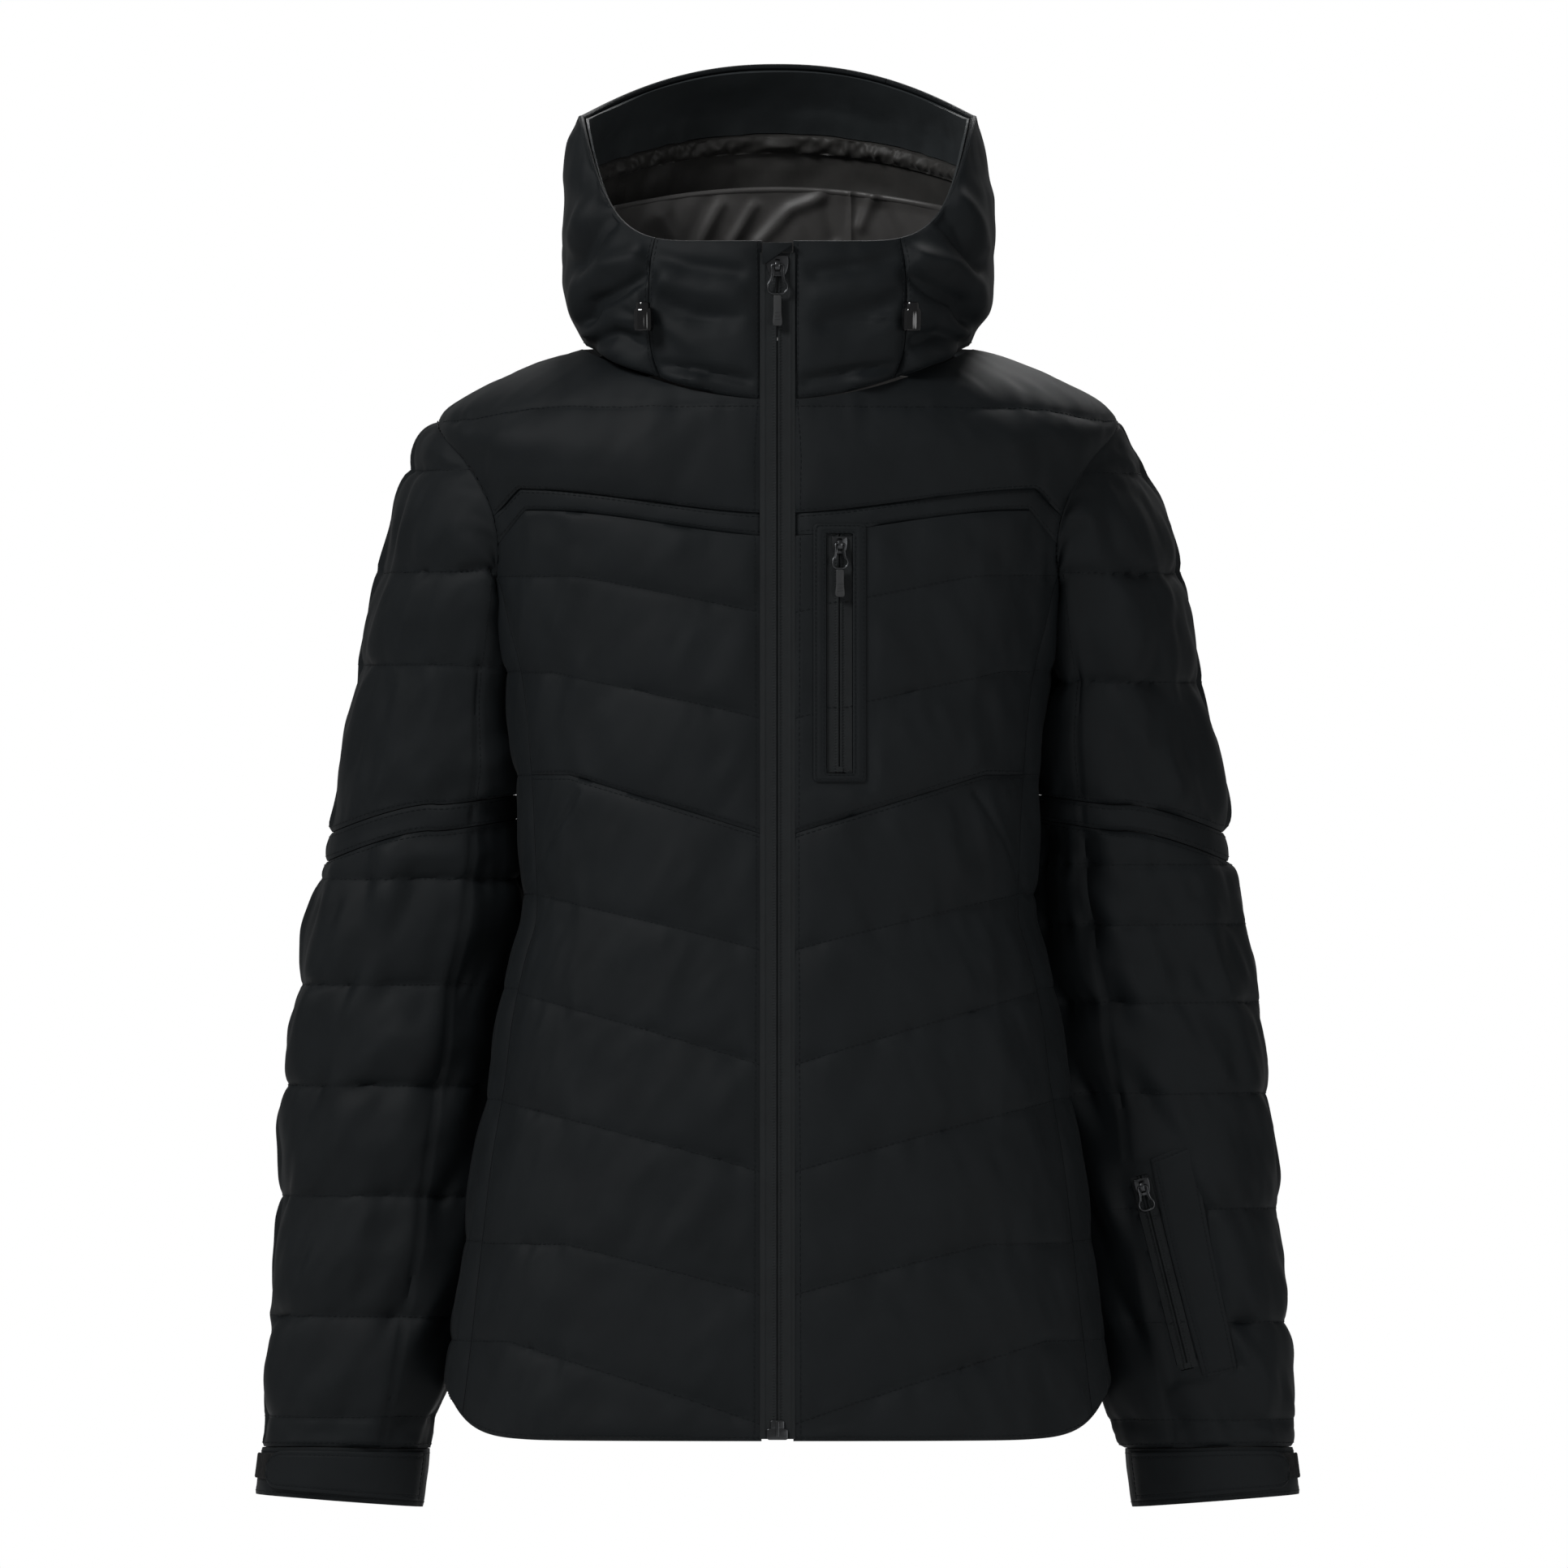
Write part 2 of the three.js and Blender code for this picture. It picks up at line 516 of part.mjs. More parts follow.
// A strip on the cuff, from just under the cuff seam down to a share.
function sleeveStrip(fromTurn, toTurn, toShare, face, across) {
  const place = (s, t) => {
    const turn = lerp(fromTurn, toTurn, s);
    return [turn, lerp(toShare, cuffAt + 0.004 + cuffTilt * Math.cos(turn * degree), t)];
  };
  return panel(sleevePoint, place, face, trim, across, 1, [-1, -0.004]);
}
const level = (share) => () => share;
const tilted = (share, tilt) => (turn) => share + tilt * Math.cos(turn * degree);
const aboveElbow = tilted(elbowAt - shareGap, elbowTilt);
const upperSleeve = sleeveWall(level(armholeGap), aboveElbow, 0, shellPad, around, 5);
const elbowTop = tilted(elbowAt, elbowTilt);
const elbowFoot = tilted(elbowAt + elbowBand - shareGap, elbowTilt);
const elbow = sleeveWall(elbowTop, elbowFoot, 0, shellPad, around, 1);
const underElbow = tilted(elbowAt + elbowBand, elbowTilt);
const lowerSleeve = sleeveWall(underElbow, tilted(cuffAt - shareGap, cuffTilt), 0, shellPad, around, 8);
const cuff = sleeveWall(tilted(cuffAt, cuffTilt), level(1), 0, 4, around, 1);
const sleeveLining = sleeveWall(level(0.17), level(0.985), shellPad + 1.5, lining, around, 8);
addPair('upper_sleeve', upperSleeve, shellColour);
addPair('elbow_band', elbow, shellColour);
addPair('cuff', cuff, shellColour);
addPair('sleeve_lining', sleeveLining, liningColour);
const tabTurns = [158, 30];
addPair('cuff_tab', sleeveStrip(tabTurns[0], tabTurns[1], 0.993, -2 * trim - 2 * seam, 10), shellColour);
addPair('loop_patch', sleeveStrip(44, -8, 0.985, -trim - seam, 6), trimColour);

// sleeve pocket on the wearer's left: zip in a window, covered by a storm flap
const pocketTop = sleevePoint(sleevePocket.angleTop, sleevePocket.top);
const pocketFoot = sleevePoint(sleevePocket.angleFoot, sleevePocket.foot);
const pocketTurn = (sleevePocket.angleTop + sleevePocket.angleFoot) / 2;
const pocketShare = (sleevePocket.top + sleevePocket.foot) / 2;
const pocketOutward = outwardAt(sleevePoint, pocketTurn, pocketShare, -1, -0.004);
const pocketFrame = zipFrame(pocketTop, pocketFoot, pocketOutward);
const pocketLength = pocketTop.distanceTo(pocketFoot);
const pocketWindow = windowOf(sleevePocket, pocketLength, pocketFrame);
add('lower_sleeve_left', cut(lowerSleeve, pocketWindow), shellColour);
add('lower_sleeve_right', reflect(lowerSleeve), shellColour);
const sleeveTapes = closedTape(sleevePocket.halfWidth, pocketLength);
add('sleeve_zip_tape', sleeveTapes.applyMatrix4(pocketFrame), trimColour);
addSlider('sleeve', smallSlider, pocketFrame.clone().multiply(belowTop), false);
const flapPast = 0.012;       // how far the flap runs past both ends of its zip, in share
const stormFlap = panel(sleevePoint, (s, t) => {
  const beside = lerp(sleevePocket.flapFrom, sleevePocket.flapTo, s);
  const turn = lerp(sleevePocket.angleFoot, sleevePocket.angleTop, t) - beside;
  return [turn, lerp(sleevePocket.foot + flapPast, sleevePocket.top - flapPast, t)];
}, -seam - trim, trim, 3, 8, [-1, -0.004]);
add('sleeve_pocket_flap', stormFlap, shellColour);

// ---- hood and collar ----
const shareStep = 0.01;
const seamTurn = 0.15;        // half of the gap at an upright hood seam, in degrees of turn
const neckGap = 0.006;
function hoodPanel(columns, low, high, up, face = 0, thickness = hoodPad) {
  const last = columns.length - 1;
  const place = (s, t) => {
    const column = Math.round(s * last);
    const share = lerp(low, high, t);
    if (columns[column] === 'placket') return [turnAtHood(placket, share), share];
    const gap = column === last ? -seamTurn : 0;
    const start = column === 0 ? seamTurn : 0;
    return [columns[column] + gap + start, share];
  };
  return panel(hoodPoint, place, face, thickness, last, up, [0.5, shareStep]);
}
const turnAtHood = (x, share) => Math.asin((x / hoodHalf(share)) ** (roundness / 2)) / degree;
const chinColumns = ['placket', 12, 20, 27, chinTurn];
const sideTurns = [chinTurn, 43, 52, 63, 76, 90, 105, 120, 135, crownTurn];
const crownColumns = [crownTurn, 160, 170, 180, 190, 200, 360 - crownTurn];
addPair('chin_panel', hoodPanel(chinColumns, neckGap, 1, 8), shellColour);
addPair('hood_side', hoodPanel(sideTurns, neckGap, 1, 8), shellColour);
add('hood_crown', hoodPanel(crownColumns, neckGap, 1, 8), shellColour);
const inside = hoodPad + 1.3;
const innerHalf = [...sideTurns.slice(2), 160, 170];
const innerTurns = [...innerHalf, 180, ...innerHalf.map((turn) => 360 - turn).reverse()];
const layerGap = 0.005;       // between the linings of the hood, in share
const { channelLow, channelHigh } = hoodShares;
add('hood_lining', hoodPanel(innerTurns, 0.08, channelLow - layerGap, 5, inside, lining), liningColour);
add('hood_channel', hoodPanel(innerTurns, channelLow, channelHigh - layerGap, 1, inside, 4), liningColour);
add('brim_facing', hoodPanel(innerTurns, channelHigh, hoodShares.top, 2, inside, lining), shellColour);

// inner collar: rises from the neck seam and leans in, away from the hood lining
const collarHalf = profile([[0, 113.3], [0.4, 110], [1, 108]]);
const collarBack = profile([[0, 87.5], [0.4, 76], [1, 64]]);
function collarPoint(turn, share) {
  const across = bend(Math.sin(turn * degree), 2 / roundness);
  const along = bend(Math.cos(turn * degree), 2 / roundness);
  const front = along > 0;
  const level = 1 - across * across;
  const base = neckHeight + 2 + (front ? -neckDrop : neckRise) * level;
  const top = collar.top + (front ? 0 : collar.arch) * level;
  const reach = front ? 100 : collarBack(share);
  return new THREE.Vector3(collarHalf(share) * across, -reach * along, lerp(base, top, share));
}
const collarStart = 68;       // degrees of turn at which the collar's front edge stands
const collarPlace = (s, t) => [lerp(collarStart, 360 - collarStart, s), t];
const collarSheet = panel(collarPoint, collarPlace, 0, collar.thickness, 16, 3, [0.5, shareStep]);
add('collar_lining', collarSheet, liningColour);

// cord locks: a barrel on each chin seam, with a sprung button in its bore
function lockFrame() {
  const seat = hoodPoint(chinTurn, cordLock.share);
  const outward = outwardAt(hoodPoint, chinTurn, cordLock.share, 0.5, shareStep);
  const above = hoodPoint(chinTurn, cordLock.share + 0.1);
  const up = above.sub(hoodPoint(chinTurn, cordLock.share - 0.1)).normalize();
  const across = up.clone().cross(outward).normalize();
  const centre = seat.addScaledVector(outward, cordLock.radius + seam);
  return new THREE.Matrix4().makeBasis(across, up, across.clone().cross(up)).setPosition(centre);
}
const barrel = [[0, -cordLock.half], [cordLock.radius, -cordLock.half], [cordLock.radius, cordLock.half],
  [cordLock.bore, cordLock.half], [cordLock.bore, cordLock.boreFloor], [0, cordLock.boreFloor]];
const lathe = (outline) => new THREE.LatheGeometry(outline.map(([r, y]) => new THREE.Vector2(r, y)), 16);
addPair('cord_lock', lathe(barrel).applyMatrix4(lockFrame()), trimColour);
const plunger = [[0, cordLock.buttonLow], [cordLock.button, cordLock.buttonLow],
  [cordLock.button, cordLock.buttonTop], [0, cordLock.buttonTop]];
addPair('cord_lock_button', lathe(plunger).applyMatrix4(lockFrame()), trimColour);

// hang loop inside the back neck, sewn to the yoke at both ends
const loopZ = neckHeight - hangLoop.belowNeck;
const loopBack = bodyBack(neckHeight) - shellPad - 1.2;
const loopPath = new THREE.CatmullRomCurve3([[-1, 0], [-0.8, 0.6], [0, 1], [0.8, 0.6], [1, 0]]
  .map(([x, out]) => new THREE.Vector3(x * hangLoop.half, loopBack - out * hangLoop.reach, loopZ)));
const loopWidth = hangLoop.width / 2;
const loopThickness = hangLoop.thickness / 2;
const loopSection = new THREE.Shape([
  new THREE.Vector2(-loopWidth, -loopThickness), new THREE.Vector2(loopWidth, -loopThickness),
  new THREE.Vector2(loopWidth, loopThickness), new THREE.Vector2(-loopWidth, loopThickness),
]);
const loopStrap = new THREE.ExtrudeGeometry(loopSection, { steps: 16, extrudePath: loopPath });
add('hang_loop', loopStrap, trimColour);

// the origin is the hang loop
jacket.position.set(0, -(loopBack - hangLoop.reach), -loopZ);
jacket.updateMatrixWorld(true);

export default jacket;
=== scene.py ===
import math
import bmesh
import bpy
import numpy as np
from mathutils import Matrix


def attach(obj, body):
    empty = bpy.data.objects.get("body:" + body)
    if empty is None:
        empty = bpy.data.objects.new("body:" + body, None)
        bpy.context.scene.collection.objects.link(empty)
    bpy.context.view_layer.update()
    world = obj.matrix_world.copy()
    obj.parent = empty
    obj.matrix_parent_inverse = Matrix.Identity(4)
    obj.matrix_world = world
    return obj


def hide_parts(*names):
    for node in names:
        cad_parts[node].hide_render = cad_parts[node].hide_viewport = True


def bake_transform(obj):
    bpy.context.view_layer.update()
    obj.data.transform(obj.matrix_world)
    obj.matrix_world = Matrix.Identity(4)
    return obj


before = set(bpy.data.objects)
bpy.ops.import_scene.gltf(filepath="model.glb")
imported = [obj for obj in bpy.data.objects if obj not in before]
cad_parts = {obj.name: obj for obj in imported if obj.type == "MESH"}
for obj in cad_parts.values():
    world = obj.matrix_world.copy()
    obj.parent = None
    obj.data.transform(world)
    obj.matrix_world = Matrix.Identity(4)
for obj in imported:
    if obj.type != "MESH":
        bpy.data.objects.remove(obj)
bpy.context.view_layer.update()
scene = bpy.context.scene
print("frame loaded")

# the cut: the same curves that the frame's panels follow, in millimetres
cut = {
    "origin": (0.0, 72.8, 712.0),      # hang loop, as measured from the cuff ends
    "roundBody": 2.35, "roundSleeve": 2.2,
    "hemHeight": 76.0, "hemDrop": 32.0, "neckHeight": 714.0, "neckDrop": 33.0, "neckRise": 6.0,
    "frontHemY": -148.0, "frontLean": 0.05, "zipFoot": 44.0, "zipTop": 771.0, "placket": 9.5,
    "armY": 3.0, "armZ": 607.0, "armDepth": 68.0, "armHeight": 62.0,
    "sleeveTopOuter": 669.0, "sleeveTopInner": 547.0, "cuffOuter": 8.0, "cuffInner": 0.0,
    "elbowAt": 0.29, "elbowTilt": 0.093, "elbowBand": 0.027, "cuffAt": 0.945, "cuffTilt": 0.011,
    "sideStart": 70.0, "sideEnd": 110.0, "backYoke": 600.0, "chinTurn": 34.0, "crownTurn": 150.0,
    "armSeamTurn": 112.0,
}


def profile(pairs):
    # smooth curve through pairs: cubic pieces whose slopes are those between the neighbours
    x = np.array([p[0] for p in pairs], float)
    y = np.array([p[1] for p in pairs], float)
    before = np.maximum(np.arange(len(x)) - 1, 0)
    after = np.minimum(np.arange(len(x)) + 1, len(x) - 1)
    slope = (y[after] - y[before]) / (x[after] - x[before])

    def curve(at):
        at = np.clip(at, x[0], x[-1])
        i = np.clip(np.searchsorted(x, at, side="right") - 1, 0, len(x) - 2)
        width = x[i + 1] - x[i]
        t = (at - x[i]) / width
        low = y[i] * (1 + 2 * t) + slope[i] * width * t
        high = y[i + 1] * (3 - 2 * t) + slope[i + 1] * width * (t - 1)
        return low * (1 - t) ** 2 + high * t ** 2
    return curve


def smooth(t):
    t = np.clip(t, 0, 1)
    return t * t * (3 - 2 * t)


def bend(value, power):
    return np.sign(value) * np.abs(value) ** power


def mix(a, b, t):
    return a + (b - a) * t


bodyHalf = profile([[76, 205], [149, 194], [214, 186], [259, 178], [304, 172], [339, 164],
                    [364, 157], [409, 158], [449, 160], [509, 166], [545, 175], [579, 183], [610, 193],
                    [645, 204], [669, 209], [692, 176], [714, 121]])
bodyBack = profile([[76, 128], [214, 122], [364, 112], [509, 122], [600, 118], [669, 106], [714, 95]])
bodyCentre = profile([[76, -22], [364, -22], [509, -18], [600, -8], [669, 0], [714, 0]])
outerEdge = profile([[0, 323], [39, 318], [89, 314], [179, 306], [264, 300], [324, 293], [394, 280],
                     [464, 268], [529, 255], [575, 246], [609, 238], [649, 223], [669, 211]])
innerEdge = profile([[0, 218], [34, 214], [76, 206], [104, 199], [149, 189], [214, 179], [259, 170],
                     [304, 165.5], [330, 160.5], [364, 156], [400, 156], [440, 158], [480, 162],
                     [520, 170], [547, 177]])
sleeveDepth = profile([[0, 68], [0.15, 67], [0.35, 60], [0.6, 51], [0.85, 40], [1, 35]])
sleeveCentre = profile([[0, 3], [0.12, 22], [0.3, 32], [0.7, 30], [1, 26]])
hoodHalf = profile([[0, 120], [0.2, 129], [0.55, 131], [0.85, 129], [1, 125]])
hoodBack = profile([[0, 95], [0.25, 122], [0.55, 138], [0.85, 118], [1, 94]])
collarHalf = profile([[0, 113.3], [0.4, 110], [1, 108]])
collarBack = profile([[0, 87.5], [0.4, 76], [1, 64]])


def frontLine(z):
    return cut["frontHemY"] + (z - cut["zipFoot"]) * cut["frontLean"]


def turned(turn, roundness):
    # superellipse: signed powers of the sine and cosine of the turn
    angle = np.radians(turn)
    return bend(np.sin(angle), 2 / roundness), bend(np.cos(angle), 2 / roundness)


def bodySurface(turn, height):
    across, along = turned(turn, cut["roundBody"])
    front = along > 0
    hemShare = smooth((160 - height) / (160 - cut["hemHeight"]))
    neckShare = smooth((height - 600) / (cut["neckHeight"] - 600))
    level = 1 - across ** 2
    z = height - cut["hemDrop"] * hemShare * (1 - np.abs(across) ** 16)
    z = z + np.where(front, -cut["neckDrop"], cut["neckRise"]) * neckShare * level
    centre = bodyCentre(height)
    centreFront = height - cut["hemDrop"] * hemShare - cut["neckDrop"] * neckShare
    reach = np.where(front, centre - frontLine(centreFront), bodyBack(height))
    return np.stack([bodyHalf(height) * across, centre - reach * along, z], -1)


def turnAt(x, height):
    return np.degrees(np.arcsin(np.clip((x / bodyHalf(height)) ** (cut["roundBody"] / 2), 0, 1)))


def armholeRing(angle):
    y = cut["armY"] - cut["armDepth"] * np.sin(angle)
    z = cut["armZ"] + cut["armHeight"] * np.cos(angle)
    offset = y - bodyCentre(z)
    reach = np.where(offset < 0, bodyCentre(z) - frontLine(z), bodyBack(z))
    share = np.minimum(np.abs(offset) / reach, 0.999)
    n = cut["roundBody"]
    return np.stack([bodyHalf(z) * (1 - share ** n) ** (1 / n), y, z], -1)


def sleeveSurface(turn, share):
    # ring between the outer and inner edge points, held to the armhole over its first part
    zOut = mix(cut["sleeveTopOuter"], cut["cuffOuter"], share)
    zIn = mix(cut["sleeveTopInner"], cut["cuffInner"], share)
    xOut, xIn = outerEdge(zOut), innerEdge(zIn)
    angle = np.radians(turn)
    across = bend(np.cos(angle), 2 / cut["roundSleeve"])
    along = bend(np.sin(angle), 2 / cut["roundSleeve"])
    x = (xOut + xIn) / 2 + (xOut - xIn) / 2 * across
    z = (zOut + zIn) / 2 + (zOut - zIn) / 2 * across
    y = sleeveCentre(share) - sleeveDepth(share) * along
    hold = (1 - smooth(share / 0.16))[..., None]
    return np.stack([x, y, z], -1) * (1 - hold) + armholeRing(angle) * hold


def hoodSurface(turn, share):
    across, along = turned(turn, cut["roundBody"])
    front = along > 0
    width = np.abs(across)
    base = cut["neckHeight"] + np.where(front, -cut["neckDrop"], cut["neckRise"]) * (1 - width ** 2)
    rim = np.where(front, 778 + 79 * width ** 7, 857 + 35 * (1 - width ** 2.2))
    z = mix(base, rim, share)
    bulge = 12 * np.sin(np.pi * np.clip(share, 0, 1)) * smooth((width - 0.3) / 0.5)
    frontReach = bulge - frontLine(mix(cut["neckHeight"] - cut["neckDrop"], 778, share))
    reach = np.where(front, frontReach, hoodBack(share))
    return np.stack([hoodHalf(share) * across, -reach * along, z], -1)


def collarSurface(turn, share):
    across, along = turned(turn, cut["roundBody"])
    front = along > 0
    level = 1 - across ** 2
    base = cut["neckHeight"] + 2 + np.where(front, -cut["neckDrop"], cut["neckRise"]) * level
    top = 800 + np.where(front, 0, 14) * level
    reach = np.where(front, 100, collarBack(share))
    return np.stack([collarHalf(share) * across, -reach * along, mix(base, top, share)], -1)


# numpy helpers
def outward(surface, u, v, stepU, stepV):
    alongU = surface(u + stepU, v) - surface(u - stepU, v)
    alongV = surface(u, v + stepV) - surface(u, v - stepV)
    normal = np.cross(alongU, alongV)
    return normal / np.maximum(np.linalg.norm(normal, axis=-1, keepdims=True), 1e-9)


steps = {"body": (bodySurface, 0.5, 0.5), "sleeve": (sleeveSurface, -1.0, -0.004),
         "hood": (hoodSurface, 0.5, 0.01), "collar": (collarSurface, 0.5, 0.01)}


def lattice(seed):
    return np.random.default_rng(seed).random((64, 64))


def valueNoise(x, y, seed):
    # smooth noise in -1..1: a random lattice joined by cubic steps
    table = lattice(seed)
    xi, yi = np.floor(x).astype(int), np.floor(y).astype(int)
    tx, ty = smooth(x - xi), smooth(y - yi)
    a = table[xi % 64, yi % 64]
    b = table[(xi + 1) % 64, yi % 64]
    c = table[xi % 64, (yi + 1) % 64]
    d = table[(xi + 1) % 64, (yi + 1) % 64]
    return 2 * mix(mix(a, b, tx), mix(c, d, tx), ty) - 1


def layered(x, y, seed, octaves=3):
    total = 0
    for k in range(octaves):
        total = total + valueNoise(x * 2 ** k + 13.7 * k, y * 2 ** k + 5.1 * k, seed + k) / 2 ** k
    return total


def toMetres(points):
    return (points - np.array(cut["origin"])) / 1000


def spin(vectors, axis):
    return vectors / np.maximum(np.linalg.norm(vectors, axis=axis, keepdims=True), 1e-9)


def gridFaces(rows, cols, wrap=False):
    # quads of a grid whose points run row by row, columns first
    r = np.arange(rows - 1)[:, None]
    c = np.arange(cols if wrap else cols - 1)[None, :]
    a = r * cols + c
    b = r * cols + (c + 1) % cols
    return np.stack([a, b, b + cols, a + cols], -1).reshape(-1, 4)


def closedBetween(front, back, faces):
    # the outer faces, the same faces turned over at the back, and a wall along each open edge
    count = front.size // 3
    edges = np.stack([faces, np.roll(faces, -1, axis=1)], -1).reshape(-1, 2)
    ahead = edges[:, 0] * count + edges[:, 1]
    behind = edges[:, 1] * count + edges[:, 0]
    rim = edges[~np.isin(behind, ahead)]
    walls = np.stack([rim[:, 1], rim[:, 0], rim[:, 0] + count, rim[:, 1] + count], -1)
    quads = np.concatenate([faces, faces[:, ::-1] + count, walls])
    points = np.concatenate([front.reshape(-1, 3), back.reshape(-1, 3)])
    used, index = np.unique(quads, return_inverse=True)
    return points[used], index.reshape(-1, 4)


def joined(*parts):
    points, faces, start = [], [], 0
    for somePoints, someFaces in parts:
        points.append(somePoints)
        faces.append(someFaces + start)
        start += len(somePoints)
    return np.concatenate(points), np.concatenate(faces)


def mirrorPart(part):
    points, faces = part
    return points * np.array([-1, 1, 1]), faces[:, ::-1]


def meshFrom(name, part, material, sharp=50.0):
    # a mesh object from points in garment millimetres; a quad with a repeated point becomes a triangle
    points, faces = part
    mesh = bpy.data.meshes.new(name)
    rows = [row if len(set(row)) == 4 else list(dict.fromkeys(row)) for row in faces.tolist()]
    mesh.from_pydata(toMetres(points), [], [row for row in rows if len(row) > 2])
    mesh.validate()
    work = bmesh.new()
    work.from_mesh(mesh)
    bmesh.ops.recalc_face_normals(work, faces=work.faces)
    work.to_mesh(mesh)
    work.free()
    mesh.polygons.foreach_set("use_smooth", [True] * len(mesh.polygons))
    if sharp:
        mesh.set_sharp_from_angle(angle=math.radians(sharp))
    obj = bpy.data.objects.new(name, mesh)
    scene.collection.objects.link(obj)
    mesh.materials.append(material)
    return obj


def dashes(path, normal, length=2.4, pitch=3.6, radius=0.28):
    # stitches along a path: short rods with tapered ends, half sunk in the cloth
    step = np.linalg.norm(np.diff(path, axis=0), axis=1)
    arc = np.concatenate([[0], np.cumsum(step)])
    count = int(arc[-1] / pitch)
    if count < 1:
        return np.zeros((0, 3)), np.zeros((0, 4), int)
    at = (np.arange(count) + 0.5) * arc[-1] / count

    def along(distance):
        return np.stack([np.interp(distance, arc, path[:, k]) for k in range(3)], -1)

    lift = spin(np.stack([np.interp(at, arc, normal[:, k]) for k in range(3)], -1), -1)
    start, end = along(at - length / 2), along(at + length / 2)
    way = spin(end - start, -1)
    side = spin(np.cross(way, lift), -1)
    sections = [(0.0, 0.35), (0.18, 1.0), (0.82, 1.0), (1.0, 0.35)]
    corners = [(math.cos(a), math.sin(a)) for a in np.arange(6) * math.pi / 3]
    points = []
    for share, size in sections:
        centre = mix(start, end, share) + lift * radius * 0.5
        for c, n in corners:
            points.append(centre + (side * c + lift * n) * radius * size)
    points = np.stack(points, 1)
    faces = []
    for ring in range(3):
        for k in range(6):
            a, b = ring * 6 + k, ring * 6 + (k + 1) % 6
            faces.append([a, b, b + 6, a + 6])
    faces += [[0, 5, 4, 3], [0, 3, 2, 1], [18, 19, 20, 21], [18, 21, 22, 23]]
    offset = np.arange(count)[:, None, None] * 24
    return points.reshape(-1, 3), (np.array(faces)[None] + offset).reshape(-1, 4)


# materials
def shaderNodes(name):
    material = bpy.data.materials.new(name)
    material.use_nodes = True
    tree = material.node_tree
    return material, tree, tree.nodes["Principled BSDF"]


def node(tree, kind, **inputs):
    made = tree.nodes.new(kind)
    for key, value in inputs.items():
        made.inputs[key.replace("_", " ")].default_value = value
    return made


def wovenMaterial(name, settings):
    # crossed fine waves for the weave, slow noise for tone and roughness, both on object coordinates
    material, tree, shader = shaderNodes(name)
    link = tree.links.new
    place = tree.nodes.new("ShaderNodeTexCoord")
    weaves = []
    for axis in ("X", "Z"):
        wave = node(tree, "ShaderNodeTexWave", Scale=settings["weave"], Distortion=1.2, Detail=1.0)
        wave.bands_direction = axis
        link(place.outputs["Object"], wave.inputs["Vector"])
        weaves.append(wave)
    crossed = tree.nodes.new("ShaderNodeMath")
    crossed.operation = "MULTIPLY"
    link(weaves[0].outputs["Fac"], crossed.inputs[0])
    link(weaves[1].outputs["Fac"], crossed.inputs[1])
    tone = node(tree, "ShaderNodeTexNoise", Scale=settings["tone"], Detail=4.0, Roughness=0.6)
    link(place.outputs["Object"], tone.inputs["Vector"])
    ramp = tree.nodes.new("ShaderNodeValToRGB")
    ramp.color_ramp.elements[0].position = 0.3
    ramp.color_ramp.elements[1].position = 0.7
    ramp.color_ramp.elements[0].color = (*settings["dark"], 1)
    ramp.color_ramp.elements[1].color = (*settings["light"], 1)
    link(tone.outputs["Fac"], ramp.inputs["Fac"])
    link(ramp.outputs["Color"], shader.inputs["Base Color"])
    rough = node(tree, "ShaderNodeMapRange")
    rough.inputs["To Min"].default_value = settings["rough"][0]
    rough.inputs["To Max"].default_value = settings["rough"][1]
    link(tone.outputs["Fac"], rough.inputs["Value"])
    link(rough.outputs["Result"], shader.inputs["Roughness"])
    bump = node(tree, "ShaderNodeBump", Strength=settings["bump"], Distance=0.0002)
    link(crossed.outputs["Value"], bump.inputs["Height"])
    link(bump.outputs["Normal"], shader.inputs["Normal"])
    shader.inputs["Sheen Weight"].default_value = settings["sheen"]
    shader.inputs["Sheen Roughness"].default_value = 0.45
    shader.inputs["Specular IOR Level"].default_value = settings["specular"]
    return material


def plainMaterial(name, settings):
    # moulded or metal finish: one colour broken up by noise in roughness and a slight bump
    material, tree, shader = shaderNodes(name)
    link = tree.links.new
    place = tree.nodes.new("ShaderNodeTexCoord")
    grain = node(tree, "ShaderNodeTexNoise", Scale=settings["grain"], Detail=5.0, Roughness=0.6)
    link(place.outputs["Object"], grain.inputs["Vector"])
    rough = node(tree, "ShaderNodeMapRange")
    rough.inputs["To Min"].default_value = settings["rough"][0]
    rough.inputs["To Max"].default_value = settings["rough"][1]
    link(grain.outputs["Fac"], rough.inputs["Value"])
    link(rough.outputs["Result"], shader.inputs["Roughness"])
    bump = node(tree, "ShaderNodeBump", Strength=settings["bump"], Distance=0.0001)
    link(grain.outputs["Fac"], bump.inputs["Height"])
    link(bump.outputs["Normal"], shader.inputs["Normal"])
    shader.inputs["Base Color"].default_value = (*settings["colour"], 1)
    shader.inputs["Metallic"].default_value = settings["metal"]
    return material


